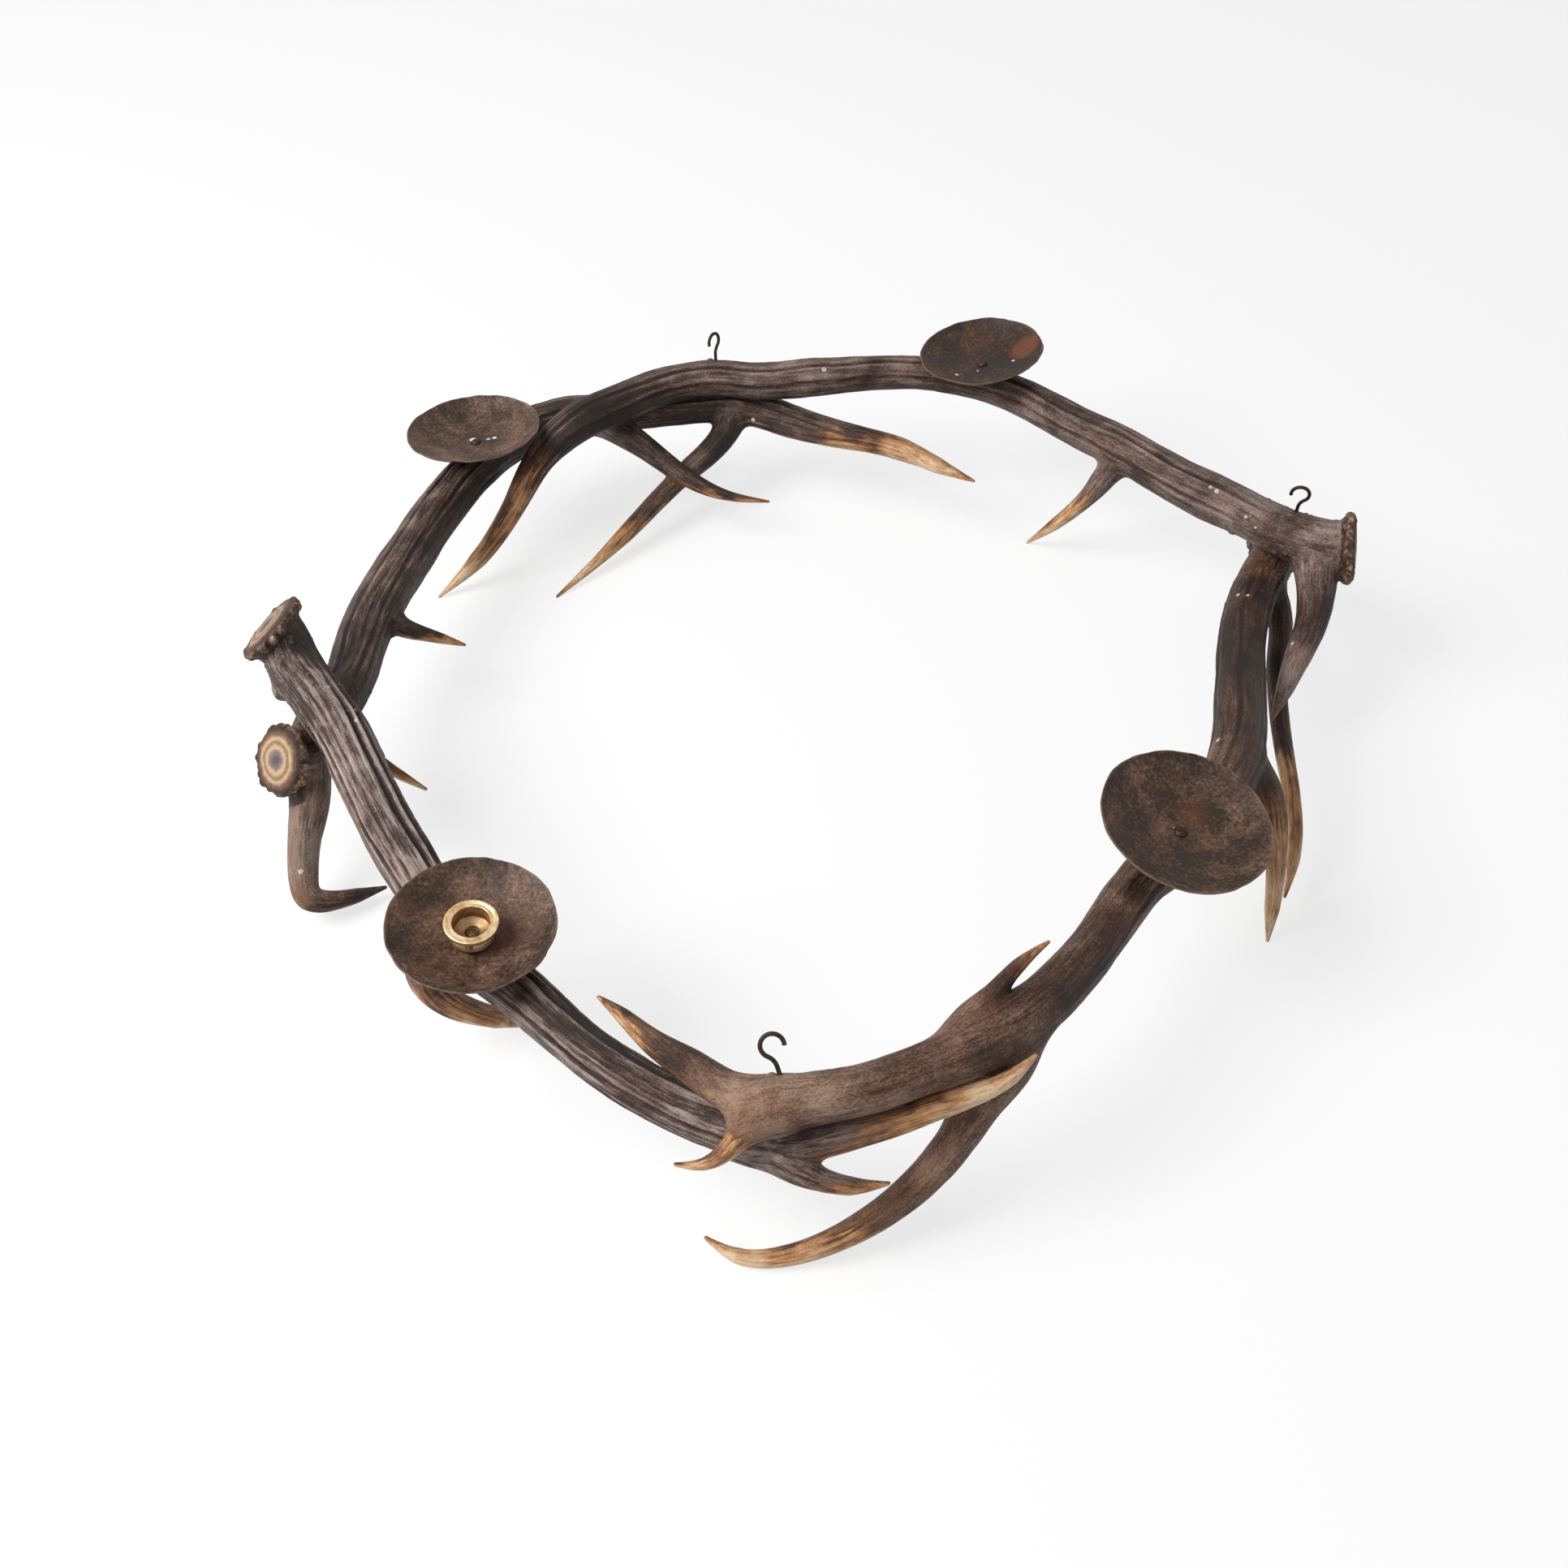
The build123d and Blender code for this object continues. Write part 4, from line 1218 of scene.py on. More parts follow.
def beaten_iron():
    """Rust-brown sheet iron with soot, fine mottling and a dull worn edge. The soot mark also
    holds a painted shadow of the candle socket on its dish.
    """
    made = Finish("beaten iron")
    where = made.place()
    bloom = made.noise(where, 55.0, 6.0, 0.68)
    cloud = made.noise(where, 14.0, 4.0, 0.6)
    grain = made.noise(where, 420.0, 4.0, 0.7)
    fleck = made.cells(where, 520.0)
    mottled = made.total(
        0.44,
        (bloom, 1.3, 0.5),
        (grain, 1.3, 0.5),
        (cloud, 0.40, 0.5),
        # the soot mark holds soot and, on the socket's dish, a painted shadow of the socket
        (made.number("sooty"), -0.24, 0.0),
    )
    colour = made.stops(
        mottled,
        (0.18, (34, 21, 13)),
        (0.40, (74, 52, 38)),
        (0.58, (104, 80, 67)),
        (0.82, (144, 118, 102)),
    )
    colour = made.washed(colour, cloud, 0.50, 0.68, 0.25, (112, 70, 48))
    colour = made.washed(colour, made.number("rusty"), 0.3, 0.9, 0.5, (136, 76, 48))
    colour = made.washed(colour, fleck, 0.12, 0.0, 0.4, (150, 128, 112))
    worn = made.total(0.0, (made.number("edge_wear"), 0.4, 0.0), (bloom, 0.9, 0.5))
    colour = made.washed(colour, worn, 0.1, 0.5, 0.45, (140, 114, 98))
    colour = made.washed(colour, made.number("waxed"), 0.3, 0.8, 1.0, (232, 226, 218))
    height = made.total(0.0, (grain, 0.5, 0.0), (bloom, 0.9, 0.0))
    return made.set(
        Base_Color=colour,
        Metallic=0.15,
        Roughness=made.between(bloom, 0.3, 0.7, 0.42, 0.66),
        Normal=made.bump(height, 0.0008, 0.7),
        Specular_IOR_Level=0.35,
    )


def turned_brass():
    """Aged brass with lathe marks, darker towards the bottom, inside and out, and bright on its
    lip.
    """
    made = Finish("turned brass")
    marks = made.noise(made.scaled(made.vector("lathe"), 0.0, 0.0, 2.6), 1.0, 4.0, 0.7)
    stain = made.noise(made.place(), 150.0, 5.0, 0.65)
    colour = made.stops(
        stain, (0.30, (150, 116, 80)), (0.50, (210, 176, 130)), (0.72, (242, 220, 184))
    )
    # darker towards the bottom of the cup, inside and out
    colour = made.painted(made.product(made.number("turning"), 0.7), colour, (96, 66, 40))
    height = made.total(0.0, (stain, 0.3, 0.0), (marks, 0.6, 0.0))
    return made.set(
        Base_Color=colour,
        Metallic=0.85,
        Roughness=made.between(stain, 0.3, 0.7, 0.48, 0.30),
        Normal=made.bump(height, 0.0004, 0.6),
    )


def blackened_iron():
    """Black forged wire with brown rust in its pits."""
    made = Finish("blackened iron")
    where = made.place()
    rust = made.noise(where, 260.0, 5.0, 0.65)
    pits = made.cells(where, 900.0)
    colour = made.stops(rust, (0.40, (34, 30, 30)), (0.58, (52, 44, 41)), (0.75, (96, 66, 50)))
    height = made.total(0.0, (pits, 0.4, 0.0), (rust, 1.0, 0.0))
    return made.set(
        Base_Color=colour,
        Metallic=0.6,
        Roughness=made.between(rust, 0.35, 0.7, 0.38, 0.7),
        Normal=made.bump(height, 0.0004, 0.6),
    )


def browned_screw(name, dark):
    """Browned steel screws, scratched round the slot, or sooted like the dish they hold."""
    made = Finish(name)
    where = made.place()
    rust = made.noise(where, 420.0, 5.0, 0.65)
    scratch = made.noise(made.scaled(where, 300.0, 2400.0, 900.0), 1.0, 3.0, 0.6)
    colour = made.stops(rust, (0.32, (58, 38, 28)), (0.52, (104, 74, 54)), (0.74, (150, 116, 88)))
    colour = made.painted(dark, colour, (40, 30, 25))
    height = made.total(0.0, (scratch, 0.5, 0.0), (rust, 1.0, 0.0))
    return made.set(
        Base_Color=colour,
        Metallic=0.7,
        Roughness=made.between(scratch, 0.35, 0.65, 0.35, 0.6),
        Normal=made.bump(height, 0.0003, 0.7),
    )


# ------------------------------------------------------------------ turned and bent pieces
def turned(name, profile, steps, wobble=None):
    """A closed solid of revolution from a profile of (radius, height) rows, axis first."""
    profile = np.array(profile, float)
    angles = np.arange(steps) * 2 * math.pi / steps
    rows = []
    faces = []
    rings = []
    for radius, height in profile:
        if radius < TINY:
            rings.append([len(rows)])
            rows.append((0.0, 0.0, height))
        else:
            rings.append(list(range(len(rows), len(rows) + steps)))
            rows.extend((radius * math.cos(a), radius * math.sin(a), height) for a in angles)
    for low, high in zip(rings, rings[1:]):
        for i in range(steps):
            j = (i + 1) % steps
            if len(low) == 1 and len(high) == 1:
                continue
            if len(low) == 1:
                faces.append((low[0], high[i], high[j]))
            elif len(high) == 1:
                faces.append((low[i], high[0], low[j]))
            else:
                faces.append((low[i], high[i], high[j], low[j]))
    points = np.array(rows)
    if wobble is not None:
        points = wobble(points)
    mesh = bpy.data.meshes.new(name)
    mesh.from_pydata([tuple(row) for row in points], [], faces)
    return mesh


def arc(centre, radius, start, end, steps):
    """Points on an arc, angles in degrees."""
    turns = np.radians(np.linspace(start, end, steps))
    return [(centre[0] + radius * math.cos(a), centre[1] + radius * math.sin(a)) for a in turns]


def outward(mesh):
    """Makes a closed mesh's faces point outwards and hides its seams."""
    work = bmesh.new()
    work.from_mesh(mesh)
    bmesh.ops.remove_doubles(work, verts=work.verts, dist=1e-7)
    bmesh.ops.recalc_face_normals(work, faces=work.faces)
    work.to_mesh(mesh)
    work.free()
    smooth(mesh)


def set_down(mesh, spot):
    """Moves a mesh made in millimetres round the origin to its place in the ring."""
    mesh.transform(Matrix.Scale(MM, 4))
    mesh.transform(spot)


def turned_place(x, y, z, lean_front, lean_right):
    """A place in the ring, leaning by so many degrees to the front and to the right."""
    lean = Matrix.Rotation(math.radians(lean_front), 4, "X")
    lean = lean @ Matrix.Rotation(math.radians(lean_right), 4, "Y")
    return Matrix.Translation(Vector((x, y, z)) * MM) @ lean


def pan_place(station, lean_right, lean_front):
    """Where a pan's collar stands on its antler."""
    x, y, z, girth = in_ring(station)
    return turned_place(x, y, z + girth / 2 - PAN_SEAT, lean_front, lean_right)


def raised(spot, height):
    """A place so many millimetres further along its own upright."""
    return spot @ Matrix.Translation((0, 0, height * MM))


PANS = {
    "back_left": (106.0, pan_place(BACK_LEFT_PAN, -2.5, -4.0)),
    "back_right": (100.0, pan_place(BACK_RIGHT_PAN, -8.0, 0.0)),
    "front_right": (108.0, pan_place(FRONT_RIGHT_PAN, 8.0, 7.0)),
    "front_left": (98.0, pan_place(FRONT_LEFT_PAN, 3.5, 3.0)),
}
SOCKET_PAN = "front_left"
# Soot, rust blooms and wax on each dish, and a painted shadow of the candle socket: place on it,
# size, how strong.
STAINS_AND_SHADOW = {
    "back_left": (
        [(0, 0, 90, 0.05)],
        [(30, -5, 14, 0.5)],
        [(-3, 4, 3.0, 1.2), (8, 4, 2.2, 1.2), (14, 6, 1.9, 1.2)],
    ),
    "back_right": (
        [(0, 0, 90, 1.0)],
        [(36, 8, 13, 1.3)],
        [(-22, -14, 1.6, 1.2), (-4, -8, 1.8, 1.2), (25, -3, 1.4, 1.2)],
    ),
    "front_right": (
        [(0, 0, 90, 0.50), (-4, 12, 2.0, 2.5)],
        [(10, 14, 20, 0.6)],
        [(-5, 4, 1.3, 1.2)],
    ),
    # the first soot spot here is a painted shadow of the candle socket, cast to its right
    "front_left": ([(24, 2, 16, 0.8), (-30, 20, 14, 0.4)], [(-20, -18, 16, 0.5)], []),
}


def pan_profile(rim):
    """The section of a dish: up the middle, out under the rim, round its edge and back."""
    boss = SOCKET_BORE / 2 + SOCKET_WALL + PAN_BOSS_MARGIN
    share = np.linspace(0, 1, PAN_ROUNDS)
    radii = boss + (rim - PAN_RIM_ROLL - boss) * share
    rise = sum(part * share**power for part, power in PAN_BOWL)
    low = (PAN_DEPTH - 2 * PAN_RIM_ROLL) * rise
    under = list(zip(radii, low))
    over = [(radius, height + PAN_SHEET) for radius, height in reversed(under)]
    roll = arc((rim - PAN_RIM_ROLL, low[-1] + PAN_SHEET / 2), PAN_RIM_ROLL * 1.05, -80, 80, 8)
    flat = [(SCREW_HOLE, 0.0), (boss * 0.4, 0.0), (boss * 0.8, 0.0)]
    flat_top = [(radius, PAN_SHEET) for radius, _ in reversed(flat)]
    return flat + under + roll + over + flat_top + [(SCREW_HOLE, 0.0)]


def beaten(rim, seed):
    """Hammer dents and a rim that isn't quite round or level."""

    def wobble(points):
        far = np.hypot(points[:, 0], points[:, 1])
        turn = points / np.maximum(far, TINY)[:, None]
        turn[:, 2] = 0
        flat = points * [1, 1, 0]
        out = ramp(far, 12, rim)
        dents = DENT * rough(flat / DENT_SIZE, seed, 2)
        dents += SMALL_DENT * noise(flat / SMALL_DENT_SIZE, seed + 3)
        points[:, 2] += dents * ramp(far, *DENTED_FROM)
        edge = RIM_WANDER * rough(turn * 2.2, seed + 5, 3)
        points[:, :2] += turn[:, :2] * (edge * out**3)[:, None]
        points[:, 2] += RIM_WAVE * noise(turn * 1.6, seed + 7) * out**4
        return points

    return wobble


def stained(rows, spots):
    """How strongly a few round spots colour a dish; most are stains, one is a painted shadow."""
    total = np.zeros(len(rows))
    for x, y, size, amount in spots:
        total += amount * np.exp(-(((rows[:, 0] - x) ** 2 + (rows[:, 1] - y) ** 2) / size**2))
    return total


def drip_pan(name, across, spot, seed, finish):
    """A beaten dish with its stains, and on the socket's dish a painted shadow, standing on its
    collar.
    """
    rim = across / 2
    profile = pan_profile(rim)
    mesh = turned(f"drip pan {name}", profile, PAN_STEPS, beaten(rim, seed))
    outward(mesh)
    rows = corners(mesh)
    far = np.hypot(rows[:, 0], rows[:, 1])
    mark(mesh, "edge_wear", ramp(far, rim - 2.6, rim - 0.4))
    soot, blooms, wax = STAINS_AND_SHADOW[name]
    # soot, and on the socket's dish a painted shadow of the socket
    mark(mesh, "sooty", stained(rows, soot))
    mark(mesh, "rusty", stained(rows, blooms))
    mark(mesh, "waxed", stained(rows, wax))
    set_down(mesh, raised(spot, FOOT_HEIGHT))
    piece = shown(f"drip_pan_{name}_beaten", mesh)
    mesh.materials.append(finish)
    return piece


def candle_socket(spot, finish):
    """A turned cup: a banded foot, a cove under the lip, and a recess for its screw."""
    bore = SOCKET_BORE / 2
    wall = bore + SOCKET_WALL
    lip = wall + SOCKET_FLARE
    edge = SOCKET_EDGE
    rounding = SOCKET_LIP_ROUNDING
    mouth = SOCKET_MOUTH_ROUNDING
    top = SOCKET_HEIGHT
    cove = top - SOCKET_LIP_HEIGHT - SOCKET_COVE
    cove_radius = lip - 0.2 - wall
    band = wall + SOCKET_BAND
    profile = [(SCREW_HOLE, 0), (wall * 0.5, 0), (wall - edge, 0), (wall, edge), (wall, 2.0)]
    profile += [(band, 2.3), (band, 3.4), (wall, 3.8), (wall, cove)]
    profile += arc((lip - 0.2, cove), cove_radius, 180, 90, 10)
    profile += arc((lip - rounding, top - SOCKET_LIP_HEIGHT + 0.9), rounding, -90, 0, 6)
    profile += arc((lip - rounding, top - 0.9), rounding, 0, 90, 6)
    profile += [(wall + 1.3, top - 0.1), (wall + 0.9, top - 0.55)]
    profile += [(wall + 0.2, top - 0.5), (bore + mouth, top - 0.4)]
    profile += arc((bore + mouth, top - 0.9), mouth, 90, 180, 5)
    profile += [(bore, top - 4.0), (bore, SOCKET_FLOOR + 3.0)]
    profile += [(bore, SOCKET_FLOOR + 0.8), (bore - 0.8, SOCKET_FLOOR)]
    sunk = SOCKET_FLOOR - SCREW_HEAD_HEIGHT - HEAD_SINK
    recess = SCREW_HEAD / 2 + SCREW_HEAD_AIR
    profile += [(recess + edge, SOCKET_FLOOR), (recess, SOCKET_FLOOR - edge), (recess, sunk)]
    profile += [(SCREW_HOLE, sunk), (SCREW_HOLE, 0)]
    mesh = turned("candle socket", profile, SOCKET_STEPS)
    outward(mesh)
    rows = corners(mesh)
    far = np.hypot(rows[:, 0], rows[:, 1])
    # how much darker the cup is made towards its bottom, inside and out
    mark(mesh, "turning", 1 - ramp(rows[:, 2], 5.0, top - 2))
    mark(mesh, "lathe", np.stack([far * 0, far * 0, rows[:, 2] + far], 1))
    set_down(mesh, raised(spot, FOOT_HEIGHT + PAN_SHEET))
    piece = shown("candle_socket_turned", mesh)
    mesh.materials.append(finish)
    return piece


def threaded_tree():
    """Winds a thread down a shank whose head is given."""
    tree, given = new_tree(
        "threaded shank",
        Head="Geometry",
        Shank_radius="Float",
        Thread_radius="Float",
        Threaded_length="Float",
        Turns="Float",
        Thread_start="Vector",
        Steel="Material",
    )
    winding = wired(
        tree,
        "GeometryNodeCurveSpiral",
        "Curve",
        {
            "Resolution": 14,
            "Rotations": given["Turns"],
            "Start Radius": given["Shank radius"],
            "End Radius": given["Shank radius"],
            "Height": given["Threaded length"],
        },
    )
    wound = tube(tree, winding, ring_of(tree, 5, given["Thread radius"])).outputs["Mesh"]
    moving = {"Geometry": wound, "Translation": given["Thread start"]}
    moved = wired(tree, "GeometryNodeTransform", "Geometry", moving)
    return end_tree(tree, joined(tree, moved, given["Head"]), given["Steel"])


THREADED = threaded_tree()


def pan_screw(name, length, spot, finish):
    """A slotted round-headed screw with its thread."""
    profile = [(0, -length - SCREW * 0.9), (SCREW * 0.12, -length - SCREW * 0.8)]
    profile += [(SCREW_CORE, -length), (SCREW_CORE + 0.05, -SCREW_PLAIN)]
    profile += [(SCREW / 2, -SCREW_PLAIN + 0.5), (SCREW / 2, 0)]
    profile += [(SCREW_HEAD / 2 - 0.2, 0.05), (SCREW_HEAD / 2, 0.4)]
    dome = arc((0, -SCREW_DOME), SCREW_HEAD_HEIGHT + SCREW_DOME, 22, 90, 12)
    profile += [(radius * SCREW_HEAD / SCREW_DOME_WIDTH, height) for radius, height in dome[1:-1]]
    profile += [(0, SCREW_HEAD_HEIGHT)]
    mesh = turned(f"pan screw {name}", profile, SCREW_STEPS)
    rows = corners(mesh)
    across = np.abs(rows[:, 1]) < SCREW_SLOT / 2 * SCREW_SLOT_SPREAD
    in_slot = across & (rows[:, 2] > SCREW_SLOT_LOWEST)
    rows[:, 2] = np.where(in_slot, SCREW_HEAD_HEIGHT - SCREW_SLOT_DEPTH, rows[:, 2])
    mesh.vertices.foreach_set("co", rows.astype(np.float32).ravel())
    outward(mesh)
    piece = shown(f"pan_screw_{name}_threaded", mesh)
    threaded = length - SCREW_PLAIN
    values = {
        "Shank radius": SCREW_CORE,
        "Thread radius": SCREW_THREAD,
        "Threaded length": threaded,
        "Turns": threaded / SCREW_LEAD,
        "Thread start": (0.0, 0.0, -length),
        "Steel": finish,
    }
    mesh = run_tree(piece, THREADED, values)
    smooth(mesh)
    set_down(mesh, spot)
    return piece


def wire_tree():
    """Draws round wire along the edges of a drawing."""
    tree, given = new_tree(
        "bent wire", Path="Geometry", Wire_radius="Float", Sides="Int", Iron="Material"
    )
    path = wired(tree, "GeometryNodeMeshToCurve", "Curve", {"Mesh": given["Path"]})
    wire = tube(tree, path, ring_of(tree, given["Sides"], given["Wire radius"]))
    return end_tree(tree, wire.outputs["Mesh"], given["Iron"])


WIRE = wire_tree()


def hook_place(station, back, turn, lean_back, lean_right):
    """Where a hook enters an antler: back, in degrees, is how far behind the ridge."""
    x, y, z, girth = in_ring(station)
    angle = math.radians(back)
    y += girth / 2 * math.sin(angle)
    z += girth / 2 * math.cos(angle)
    spot = turned_place(x, y, z, -lean_back, lean_right)
    return spot @ Matrix.Rotation(math.radians(turn), 4, "Z")


HOOKS = {
    "back": hook_place(BACK_HOOK, 22, 235, 7, -2),
    "right": hook_place(RIGHT_HOOK, 35, 165, -6, 0),
    "front": hook_place(FRONT_HOOK, 42, 0, 38, -18),
}


def hook(name, spot, finish):
    """A screw hook bent from wire, its end left blunt."""
    swing = math.radians(HOOK_SWING)
    start = math.radians(180 + HOOK_SWING)
    bowl_x = HOOK_OFFSET + HOOK_BOWL * math.cos(start)
    bowl_z = HOOK_HEIGHT + HOOK_BOWL * math.sin(start)
    bend = -bowl_x / (1 - math.cos(swing))
    knee = bowl_z - bend * math.sin(swing)
    path = [(0.0, 0.0, z) for z in np.linspace(-HOOK_BITE, knee, HOOK_STEM_STEPS)]
    for turn in np.linspace(0, swing, HOOK_SWING_STEPS)[1:]:
        path.append((-bend * (1 - math.cos(turn)), 0.0, knee + bend * math.sin(turn)))
    for turn in np.linspace(start, start - math.radians(HOOK_TURN), HOOK_BOWL_STEPS)[1:]:
        x = HOOK_OFFSET + HOOK_BOWL * math.cos(turn)
        path.append((x, 0.0, HOOK_HEIGHT + HOOK_BOWL * math.sin(turn)))
    mesh = bpy.data.meshes.new(f"hook {name}")
    mesh.from_pydata(path, [(i, i + 1) for i in range(len(path) - 1)], [])
    piece = shown(f"hook_{name}_wire", mesh)
    values = {"Wire radius": HOOK_WIRE / 2, "Sides": HOOK_SIDES, "Iron": finish}
    mesh = run_tree(piece, WIRE, values)
    smooth(mesh)
    set_down(mesh, spot)
    return piece


# ------------------------------------------------------------------ putting it together
def upright(spot):
    """A place's origin in millimetres and the direction it stands in."""
    return np.array(spot.translation) / MM, np.array(spot.to_3x3() @ Vector((0, 0, 1)))


def mound(name, aside, size):
    """A dab of filler beside a hook's stem."""
    foot, _ = upright(HOOKS[name])
    return (foot + np.array(aside), size)


JOINTS = {
    "left": (LEFT, "front_left", "back_left"),
    "right": (RIGHT, "back_right", "front_right"),
    "back": (BACK, "back_right", "back_left"),
    "front": (FRONT, "front_right", "front_left"),
}
BEAMS = {
    "front_left": FRONT_LEFT_BEAM,
    "front_right": FRONT_RIGHT_BEAM,
    "back_right": BACK_RIGHT_BEAM,
    "back_left": BACK_LEFT_BEAM,
}
TINES = {
    "front_left": FRONT_LEFT_TINES,
    "front_right": FRONT_RIGHT_TINES,
    "back_right": BACK_RIGHT_TINES,
    "back_left": BACK_LEFT_TINES,
}
# The way each sawn face looks, and the coronet's diameter.
BURRS = {
    "front_left": ((-0.68, 0.12, 0.72), 52.0),
    "front_right": ((0.40, 0.90, -0.15), 52.0),
    "back_right": ((0.95, -0.25, 0.19), 52.0),
    "back_left": ((-0.58, -0.59, 0.57), 48.0),
}
MOUNDS = {
    "front_right": [mound("front", (-4.5, -1.0, -1.0), 3.4)],
    "back_right": [
        mound("back", (-4.5, -1.0, -1.2), 3.4),
        mound("right", (-4.5, -1.0, -1.5), 3.2),
    ],
}

# Where each branch turns to bare golden bone: start and end as shares of a tine's length
# (millimetres on a beam), and how far it goes.
GILDING = {
    "front_left": {
        "beam": (900, 1000, 0.0),
        "sawn brow": (0.9, 1.0, 0.0),
        "middle": (0.05, 0.9, 0.62),
        "upper crown": (0.05, 0.85, 1.0),
        "lower crown": (0.45, 1.0, 0.65),
    },
    "front_right": {
        "beam": (700, 1000, 0.0),
        "inner crown": (0.15, 1.0, 0.64),
        "outer crown": (-0.3, 1.0, 0.72),
        "small": (0.15, 1.0, 0.70),
        "long": (0.35, 1.0, 1.0),
        "brow": (0.0, 1.0, 0.75),
        "bez": (0.0, 0.9, 0.95),
    },
    "back_right": {
        "beam": (690, 900, 0.85),
        "small": (0.15, 1.0, 0.85),
        "brow": (0.5, 1.0, 0.45),
    },
    "back_left": {
        "beam": (640, 830, 0.85),
        "second crown": (0.25, 1.0, 0.85),
        "third crown": (0.35, 1.0, 0.42),
        "small": (0.1, 0.9, 0.75),
        "brow": (-0.2, 1.0, 0.30),
        "bez": (0.15, 0.9, 0.75),
    },
}
# The deepest grooves: angle round the beam, from its upper side towards the outside of the
# ring on the left hand, depth, half width, and where along the beam each begins and ends.
FURROWS = {
    "front_left": [
        (-12, 2.4, 1.8, 60, 600), (-34, 2.2, 2.0, 40, 600), (38, 0.9, 1.1, 30, 500),
        (72, 1.1, 1.2, 60, 600), (120, 1.0, 1.4, 0, 600), (-80, 1.1, 1.4, 0, 600),
        (-130, 1.0, 1.4, 0, 600),
    ],
    "front_right": [
        (-60, 0.9, 1.6, 40, 500), (10, 0.7, 1.3, 60, 420), (75, 0.9, 1.5, 40, 700),
        (150, 1.0, 1.5, 0, 700),
    ],
    "back_right": [
        (-20, 1.0, 1.4, 40, 800), (25, 0.8, 1.2, 120, 700), (60, 1.1, 1.5, 30, 900),
        (-75, 0.9, 1.4, 60, 800), (140, 1.0, 1.5, 0, 900),
    ],
    "back_left": [
        (-25, 1.0, 1.5, 60, 600), (30, 0.9, 1.3, 90, 700), (-70, 1.1, 1.5, 40, 500),
        (110, 1.0, 1.5, 0, 700),
    ],
}
# Scraped and filled spots that show pale: place and size, in the ring's own frame.
CHIPS = {
    "front_left": [(-312, -59, 118.5, 1.7), (-307, -73, 121.5, 2.0)],
    "front_right": [(301.5, 93, 92.5, 1.7), (308, 90, 94.5, 1.5), (256, -69.5, 100.5, 1.8)],
    "back_right": [
        (292, 182.5, 124.6, 1.6), (295.5, 177.5, 124.2, 1.9), (314, 153.5, 118, 1.5),
        (320.5, 145.5, 114.2, 1.3), (3, 353, 122, 2.2), (336.5, 55.5, 77.5, 1.6),
    ],
    "back_left": [(-349, -130.3, 38.5, 1.8), (-56, 349.7, 75.7, 1.8)],
}
# Where the skin has turned lighter or darker than elsewhere: station, size, how much.
PATCHES = {
    "front_left": [
        (-290, -110, 125, 60, 0.08), (-178, -270, 110, 60, -0.05), (-350, -8, 132, 9, -0.25),
        (20, -362, 94, 40, 0.08),
    ],
    "front_right": [
        (-10, -362, 118, 45, 0.19), (-38, -377, 113, 15, 0.20), (301, 33, 97, 95, -0.28),
        (60, -355, 50, 60, 0.08), (11, -389, 23, 4, -0.45), (-17, -391, 16, 9, -0.30),
    ],
    "back_right": [
        (-195, 300, 115, 90, -0.20), (0, 363, 120, 60, 0.03), (255, 245, 120, 70, 0.04),
        (378, 126, 120, 30, 0.18), (360, 80, 80, 35, -0.18), (338, 30, 60, 26, 0.38),
    ],
    "back_left": [
        (-325, 60, 90, 90, -0.06), (-346, -105, 50, 48, 0.36), (-85, 350, 70, 50, -0.10),
    ],
}
# How deep each antler's ordinary grooves and ridges are, against the front left one's.
RUGGED = {"front_left": 0.9, "front_right": 0.55, "back_right": 0.6, "back_left": 0.7}
SEEDS = {"front_left": 11, "front_right": 23, "back_right": 37, "back_left": 53}

BEAM_LINES = {name: Branch(stations) for name, stations in BEAMS.items()}

pieces = []
for name in BEAMS:
    piece = grown_antler(name)
    piece.data.materials.clear()
    piece.data.materials.append(horn(name))
    pieces.append((piece, f"antler_{name}", "antler"))

iron = beaten_iron()
brass = turned_brass()
black = blackened_iron()
steel = browned_screw("browned screw", 0.0)
sooty_steel = browned_screw("sooty screw", 0.8)

for seed, (name, (across, spot)) in enumerate(PANS.items()):
    pan = drip_pan(name, across, spot, PAN_SEED + PAN_SEEDS_APART * seed, iron)
    pieces.append((pan, f"drip_pan_{name}", "rusted_iron"))
    stack = FOOT_HEIGHT + PAN_SHEET
    if name == SOCKET_PAN:
        pieces.append((candle_socket(spot, brass), "candle_socket", "aged_brass"))
        stack += SOCKET_FLOOR - SCREW_HEAD_HEIGHT - HEAD_SINK
    finish = steel if name == SOCKET_PAN else sooty_steel
    screw = pan_screw(name, stack + PAN_SCREW_BITE, raised(spot, stack), finish)
    pieces.append((screw, f"pan_screw_{name}", "screw_iron"))

for name, spot in HOOKS.items():
    pieces.append((hook(name, spot, black), f"hook_{name}", "hook_iron"))

for piece, node, finish in pieces:
    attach(piece, "root")
    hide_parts(node)


def repaint(node, finish):
    """Gives a carried-over piece its better finish."""
    for item in frame["nodes"][node].material_slots:
        item.material = finish


for name in PANS:
    repaint(f"pan_foot_{name}", iron)
for name in JOINTS:
    repaint(f"joint_screws_{name}", steel)

# ------------------------------------------------------------------ floor, light, camera
FLOOR_HALF = 6.0  # metres
FLOOR_GLOW = 0.72  # how much of the floor's white doesn't depend on the light
FLOOR_WHITE = 0.295  # how much more the light adds to it
FLOOR_BOUNCE = 0.72  # its white as the ring is lit by it
WORLD_LEVEL = 0.33
SKY_WHITE = 1.0  # as the camera and reflections see it
KEY_SPOT = (-1.9, -0.6, 2.1)
KEY_TARGET = (0, 0, 0.05)
KEY_LEVEL = 78.0
KEY_SIZE = 1.6
CAMERA_SPOT = (-0.030, -0.878, 0.868)
CAMERA_DOWN = 45.0  # degrees below the horizon
CAMERA_LENS = 38.81
CAMERA_SENSOR = 36.0
WHITE = (1, 1, 1, 1)


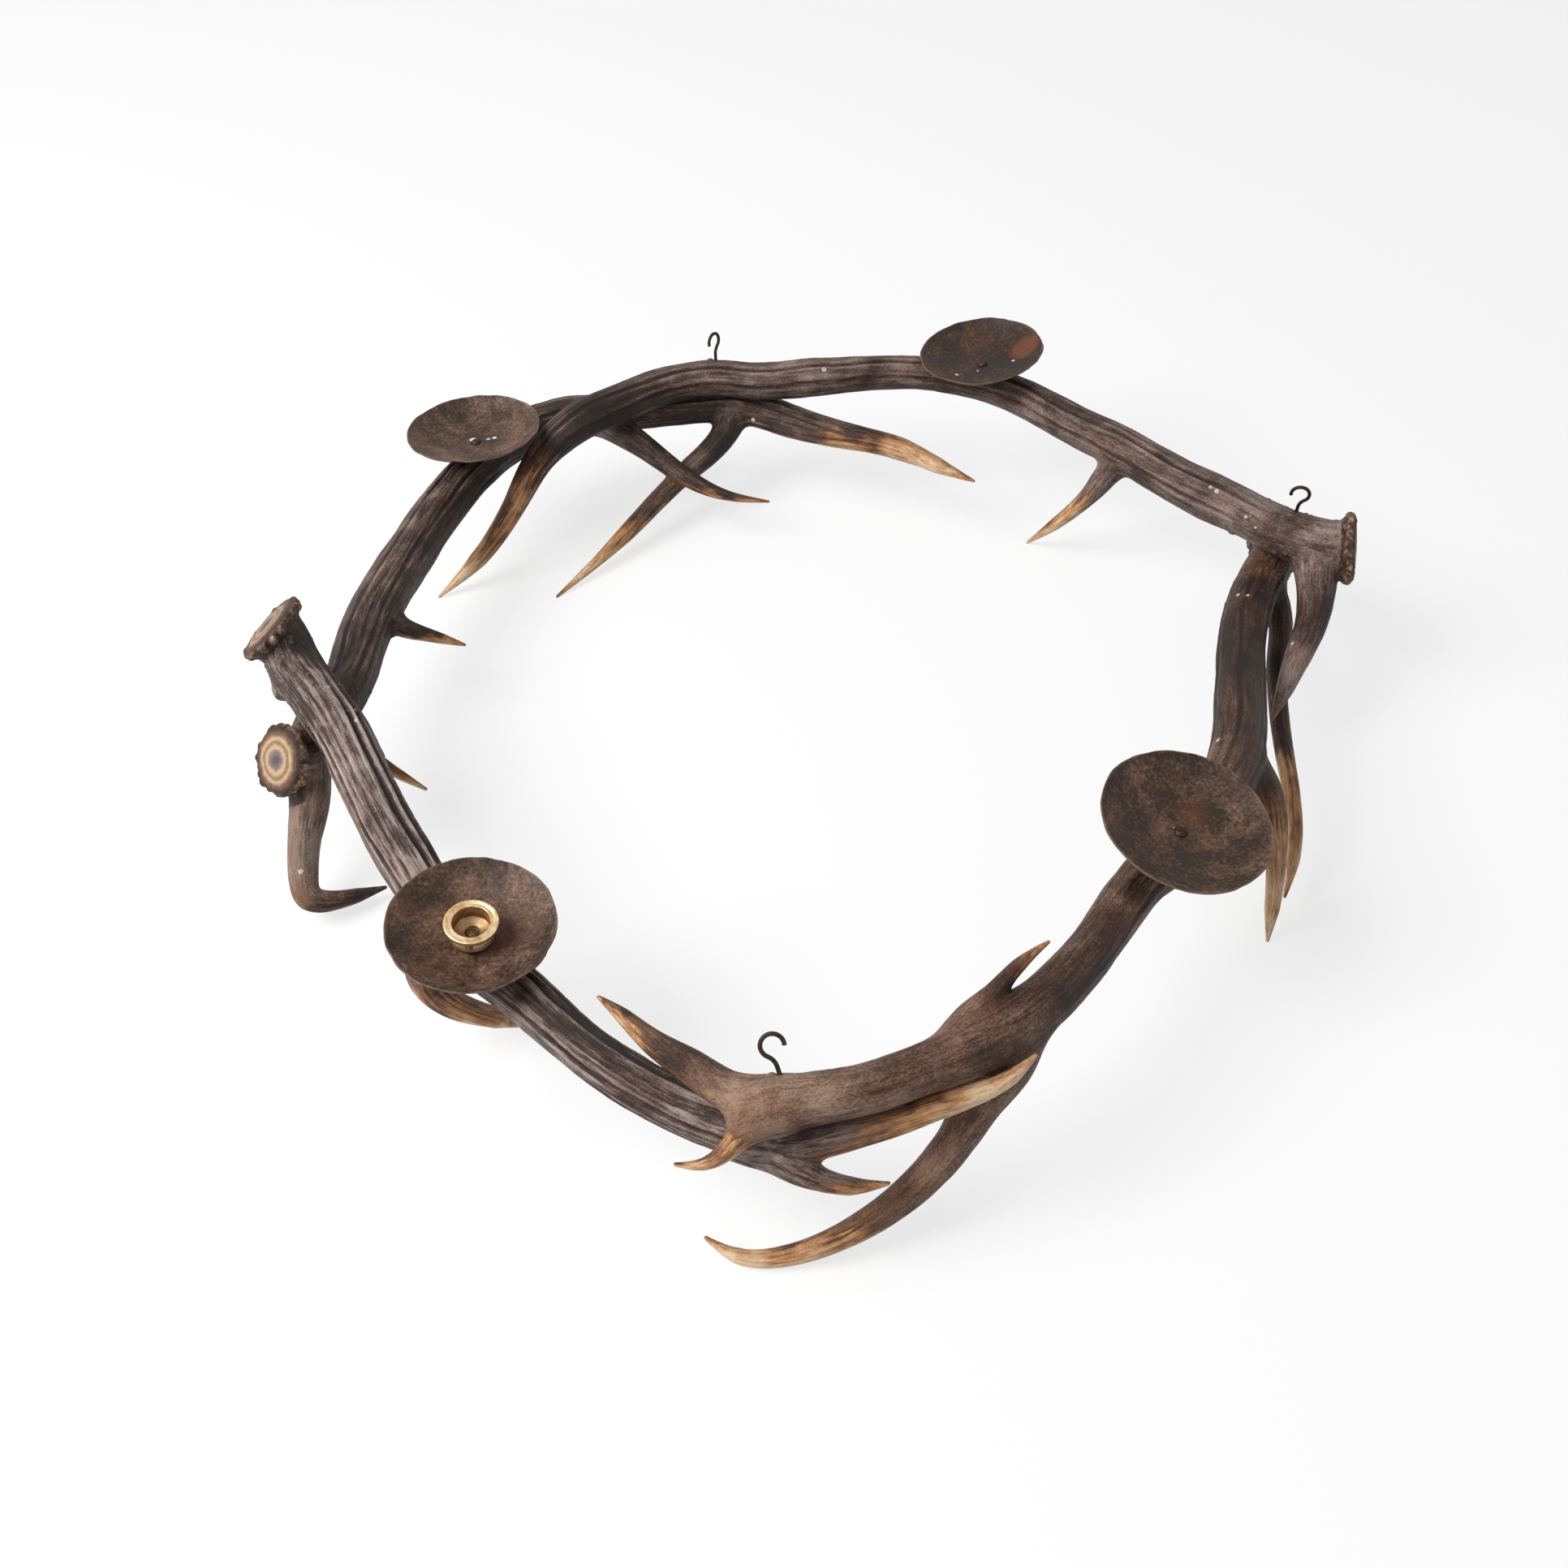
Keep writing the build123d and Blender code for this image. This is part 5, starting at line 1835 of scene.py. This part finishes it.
def grey(level):
    """A grey in the renderer's own numbers."""
    return (level, level, level, 1)


def seen_sharply(tree):
    """1 for what the camera or a reflection sees, 0 for what only lights the ring."""
    path = put(tree, "ShaderNodeLightPath").outputs
    rays = {0: path["Is Camera Ray"], 1: path["Is Glossy Ray"]}
    return wired(tree, "ShaderNodeMath", "Value", rays, operation="MAXIMUM")


def white_floor():
    """White paper: near white to the eye, but it keeps the ring's soft shadow."""
    material = bpy.data.materials.new("white paper floor")
    material.use_nodes = True
    tree = material.node_tree
    tree.nodes.clear()
    paper = wired(tree, "ShaderNodeBsdfDiffuse", "BSDF", {"Color": grey(FLOOR_WHITE)})
    shining = {"Color": WHITE, "Strength": FLOOR_GLOW}
    glow = wired(tree, "ShaderNodeEmission", "Emission", shining)
    lit = wired(tree, "ShaderNodeAddShader", 0, {0: paper, 1: glow})
    bounce = wired(tree, "ShaderNodeBsdfDiffuse", "BSDF", {"Color": grey(FLOOR_BOUNCE)})
    both = wired(tree, "ShaderNodeMixShader", 0, {0: seen_sharply(tree), 1: bounce, 2: lit})
    put(tree, "ShaderNodeOutputMaterial", {"Surface": both})
    return material


floor_mesh = bpy.data.meshes.new("floor")
turns = ((-1, -1), (1, -1), (1, 1), (-1, 1))
floor_corners = [(x * FLOOR_HALF, y * FLOOR_HALF, 0) for x, y in turns]
floor_mesh.from_pydata(floor_corners, [], [(0, 1, 2, 3)])
floor_mesh.materials.append(white_floor())
floor = shown("floor", floor_mesh)

world = bpy.data.worlds.new("soft daylight")
world.use_nodes = True
sky = world.node_tree
sky.nodes.clear()
levels = {"Value": seen_sharply(sky), "To Min": WORLD_LEVEL, "To Max": SKY_WHITE}
brightness = wired(sky, "ShaderNodeMapRange", "Result", levels)
shining = {"Color": WHITE, "Strength": brightness}
background = wired(sky, "ShaderNodeBackground", "Background", shining)
put(sky, "ShaderNodeOutputWorld", {"Surface": background})
bpy.context.scene.world = world

lamp = bpy.data.lights.new("window", "AREA")
lamp.shape = "SQUARE"
lamp.size = KEY_SIZE
lamp.energy = KEY_LEVEL
window = shown("window", lamp)
window.location = KEY_SPOT
facing = Vector(KEY_TARGET) - Vector(KEY_SPOT)
window.rotation_euler = facing.to_track_quat("-Z", "Y").to_euler()

lens = bpy.data.cameras.new("camera")
lens.lens = CAMERA_LENS
lens.sensor_width = CAMERA_SENSOR
camera = shown("camera", lens)
camera.location = CAMERA_SPOT
camera.rotation_euler = (math.radians(90 - CAMERA_DOWN), 0, 0)
bpy.context.scene.camera = camera
bpy.context.scene.view_settings.view_transform = "Standard"
